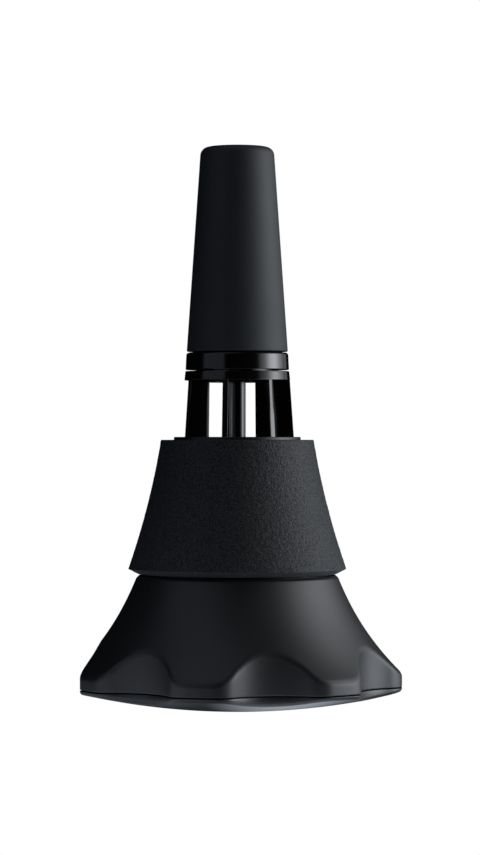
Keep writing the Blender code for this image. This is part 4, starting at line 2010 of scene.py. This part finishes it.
@dataclass
class Studio:
    """The pale floor, the lights, the white surround and the camera.

    The key box stands tall on the right, its light graded from side to side. Two dim
    panels fill in from the left and from above.
    """

    boxes: tuple[SoftBox, ...] = (
        SoftBox(
            "key box, low",
            place=(0.9, 0.15, 0.12),
            size=(1.9, 0.24),
            radiance=7.5,
            color="#f6faff",
            target=(0.0, 0.15, 0.12),
            levels=((0.0, 0.05), (0.2, 0.3), (0.34, 1.0), (0.44, 1.0), (0.58, 0.35), (0.75, 0.08)),
        ),
        SoftBox(
            "key box, high",
            place=(0.9, 0.15, 0.645),
            size=(1.9, 0.81),
            radiance=3.1,
            color="#f6faff",
            target=(0.0, 0.15, 0.645),
            levels=((0.0, 0.05), (0.25, 0.33), (0.4, 1.0), (0.65, 0.65), (0.85, 0.15)),
        ),
        SoftBox(
            "fill panel", place=(-0.63, -0.44, 0.5), size=(0.9, 1.0), radiance=0.32, color="#e3edff"
        ),
        SoftBox(
            "top panel", place=(-0.2, -0.1, 0.92), size=(0.7, 0.5), radiance=0.4, color="#e8f0ff"
        ),
    )
    floor_radius: float = 170.0
    floor_drop: float = 0.2
    floor_fade: tuple[float, float] = (110.0, 164.9)
    paper_color: str = "#e8e8e8"
    table_color: str = "#e6efff"
    table_lamps: tuple[TableLamp, ...] = (
        TableLamp((0.138, -0.03, 0.0), core=0.058, reach=0.088, glow=3.8),
        TableLamp((0.014, -0.032, 0.0), core=0.008, reach=0.024, glow=1.1),
        TableLamp((-0.063, -0.058, 0.0), core=0.02, reach=0.066, glow=0.95),
    )
    table_glow: float = 0.04
    picture: tuple[int, int] = (480, 855)
    distance: float = 0.856
    eye_height: float = 0.0703
    lens: float = 137.6
    film_width: float = 36.0
    clip: tuple[float, float] = (0.05, 10.0)
    axis_offset: float = 2.7
    eye_offset: float = 12.5

    def floor(self) -> None:
        """Lays the pale table, a disc that fades out into the white round it."""
        bm = bmesh.new()
        radius, drop = self.floor_radius * MM, self.floor_drop * MM
        bmesh.ops.create_circle(bm, cap_ends=True, segments=PLAIN_COLUMNS, radius=radius)
        bmesh.ops.translate(bm, verts=bm.verts, vec=(0.0, 0.0, -drop))
        disc = from_bmesh("studio_floor", bm)
        disc.data.materials.append(self.floor_paint())

    def floor_paint(self) -> bpy.types.Material:
        """Makes the paper on a light table, with soft lamps under it.

        The mute is lit by it as by paper, but the camera sees it as white as the surround.

        Returns:
            The material.
        """
        material, tree, shader = new_material("paper sweep, white")
        tree.nodes.remove(shader)
        place = add_node(tree, "ShaderNodeTexCoord").outputs["Object"]
        away = add_node(tree, "ShaderNodeVectorMath", {0: place}, operation="LENGTH")
        start, end = (distance * MM for distance in self.floor_fade)
        fade = add_node(
            tree,
            "ShaderNodeMapRange",
            {0: away.outputs["Value"], 1: start, 2: end},
            interpolation_type="SMOOTHSTEP",
        )
        back = add_node(tree, "ShaderNodeNewGeometry").outputs["Backfacing"]
        clear = add_node(
            tree, "ShaderNodeMath", {0: fade.outputs[0], 1: back}, operation="MAXIMUM"
        )
        seen_first = add_node(tree, "ShaderNodeLightPath").outputs["Is Camera Ray"]
        level: Level = self.table_glow
        for lamp in self.table_lamps:
            level = lamp.level(tree, place, level)
        paper = add_node(tree, "ShaderNodeBsdfDiffuse", {"Color": linear(self.paper_color)})
        glow = {"Color": linear(self.table_color), "Strength": level}
        under = add_node(tree, "ShaderNodeEmission", glow)
        table = add_node(tree, "ShaderNodeAddShader", {0: paper.outputs[0], 1: under.outputs[0]})
        white = add_node(tree, "ShaderNodeEmission", {"Strength": 1.0})
        lit = add_node(
            tree, "ShaderNodeMixShader", {0: seen_first, 1: table.outputs[0], 2: white.outputs[0]}
        )
        through = add_node(tree, "ShaderNodeBsdfTransparent")
        seen = add_node(
            tree,
            "ShaderNodeMixShader",
            {0: clear.outputs[0], 1: lit.outputs[0], 2: through.outputs[0]},
        )
        tree.links.new(seen.outputs[0], tree.nodes["Material Output"].inputs["Surface"])
        return material

    def surround(self) -> None:
        """Makes the surround white behind the mute, and dark in its reflections."""
        world = bpy.data.worlds.new("white surround")
        world.use_nodes = True
        bpy.context.scene.world = world
        tree = world.node_tree
        seen_first = add_node(tree, "ShaderNodeLightPath").outputs["Is Camera Ray"]
        sky = tree.nodes["Background"]
        sky.inputs["Color"].default_value = linear("#ffffff")
        tree.links.new(seen_first, sky.inputs["Strength"])

    def camera(self) -> None:
        """Puts the camera where the photograph was taken from."""
        data = bpy.data.cameras.new("camera")
        data.lens = self.lens
        data.sensor_width = self.film_width
        data.shift_x = self.axis_offset / max(self.picture)
        data.shift_y = self.eye_offset / max(self.picture)
        data.clip_start, data.clip_end = self.clip
        camera = bpy.data.objects.new("camera", data)
        camera.location = (0.0, -self.distance, self.eye_height)
        camera.rotation_euler = (math.pi / 2, 0.0, 0.0)
        bpy.context.scene.collection.objects.link(camera)
        bpy.context.scene.camera = camera

    def build(self) -> None:
        """Sets up the whole studio."""
        self.floor()
        self.surround()
        for box in self.boxes:
            box.build()
        self.camera()
        bpy.context.scene.view_settings.view_transform = "Standard"


def main() -> None:
    """Builds the mute and the studio round it, and reports on each piece."""
    logging.basicConfig(level=logging.INFO, format="%(name)s: %(message)s")
    shop = Workshop()
    Base().build(shop)
    Grip().build(shop)
    body_seal = FlatSeal("body_seal_ring", "body_seal", Body.LOWER_SEAL, inner=21.95, outer=23.45)
    body_seal.build(shop)
    Carrier().build(shop)
    Cage().build(shop)
    cap_seal = FlatSeal("cap_seal_ring", "cap_seal", Body.UPPER_SEAL, inner=9.65, outer=11.85)
    cap_seal.build(shop)
    Cap().build(shop)
    Studio().build()
    LOG.info("%d pieces dressed", shop.made)


if __name__ == "__main__":
    main()
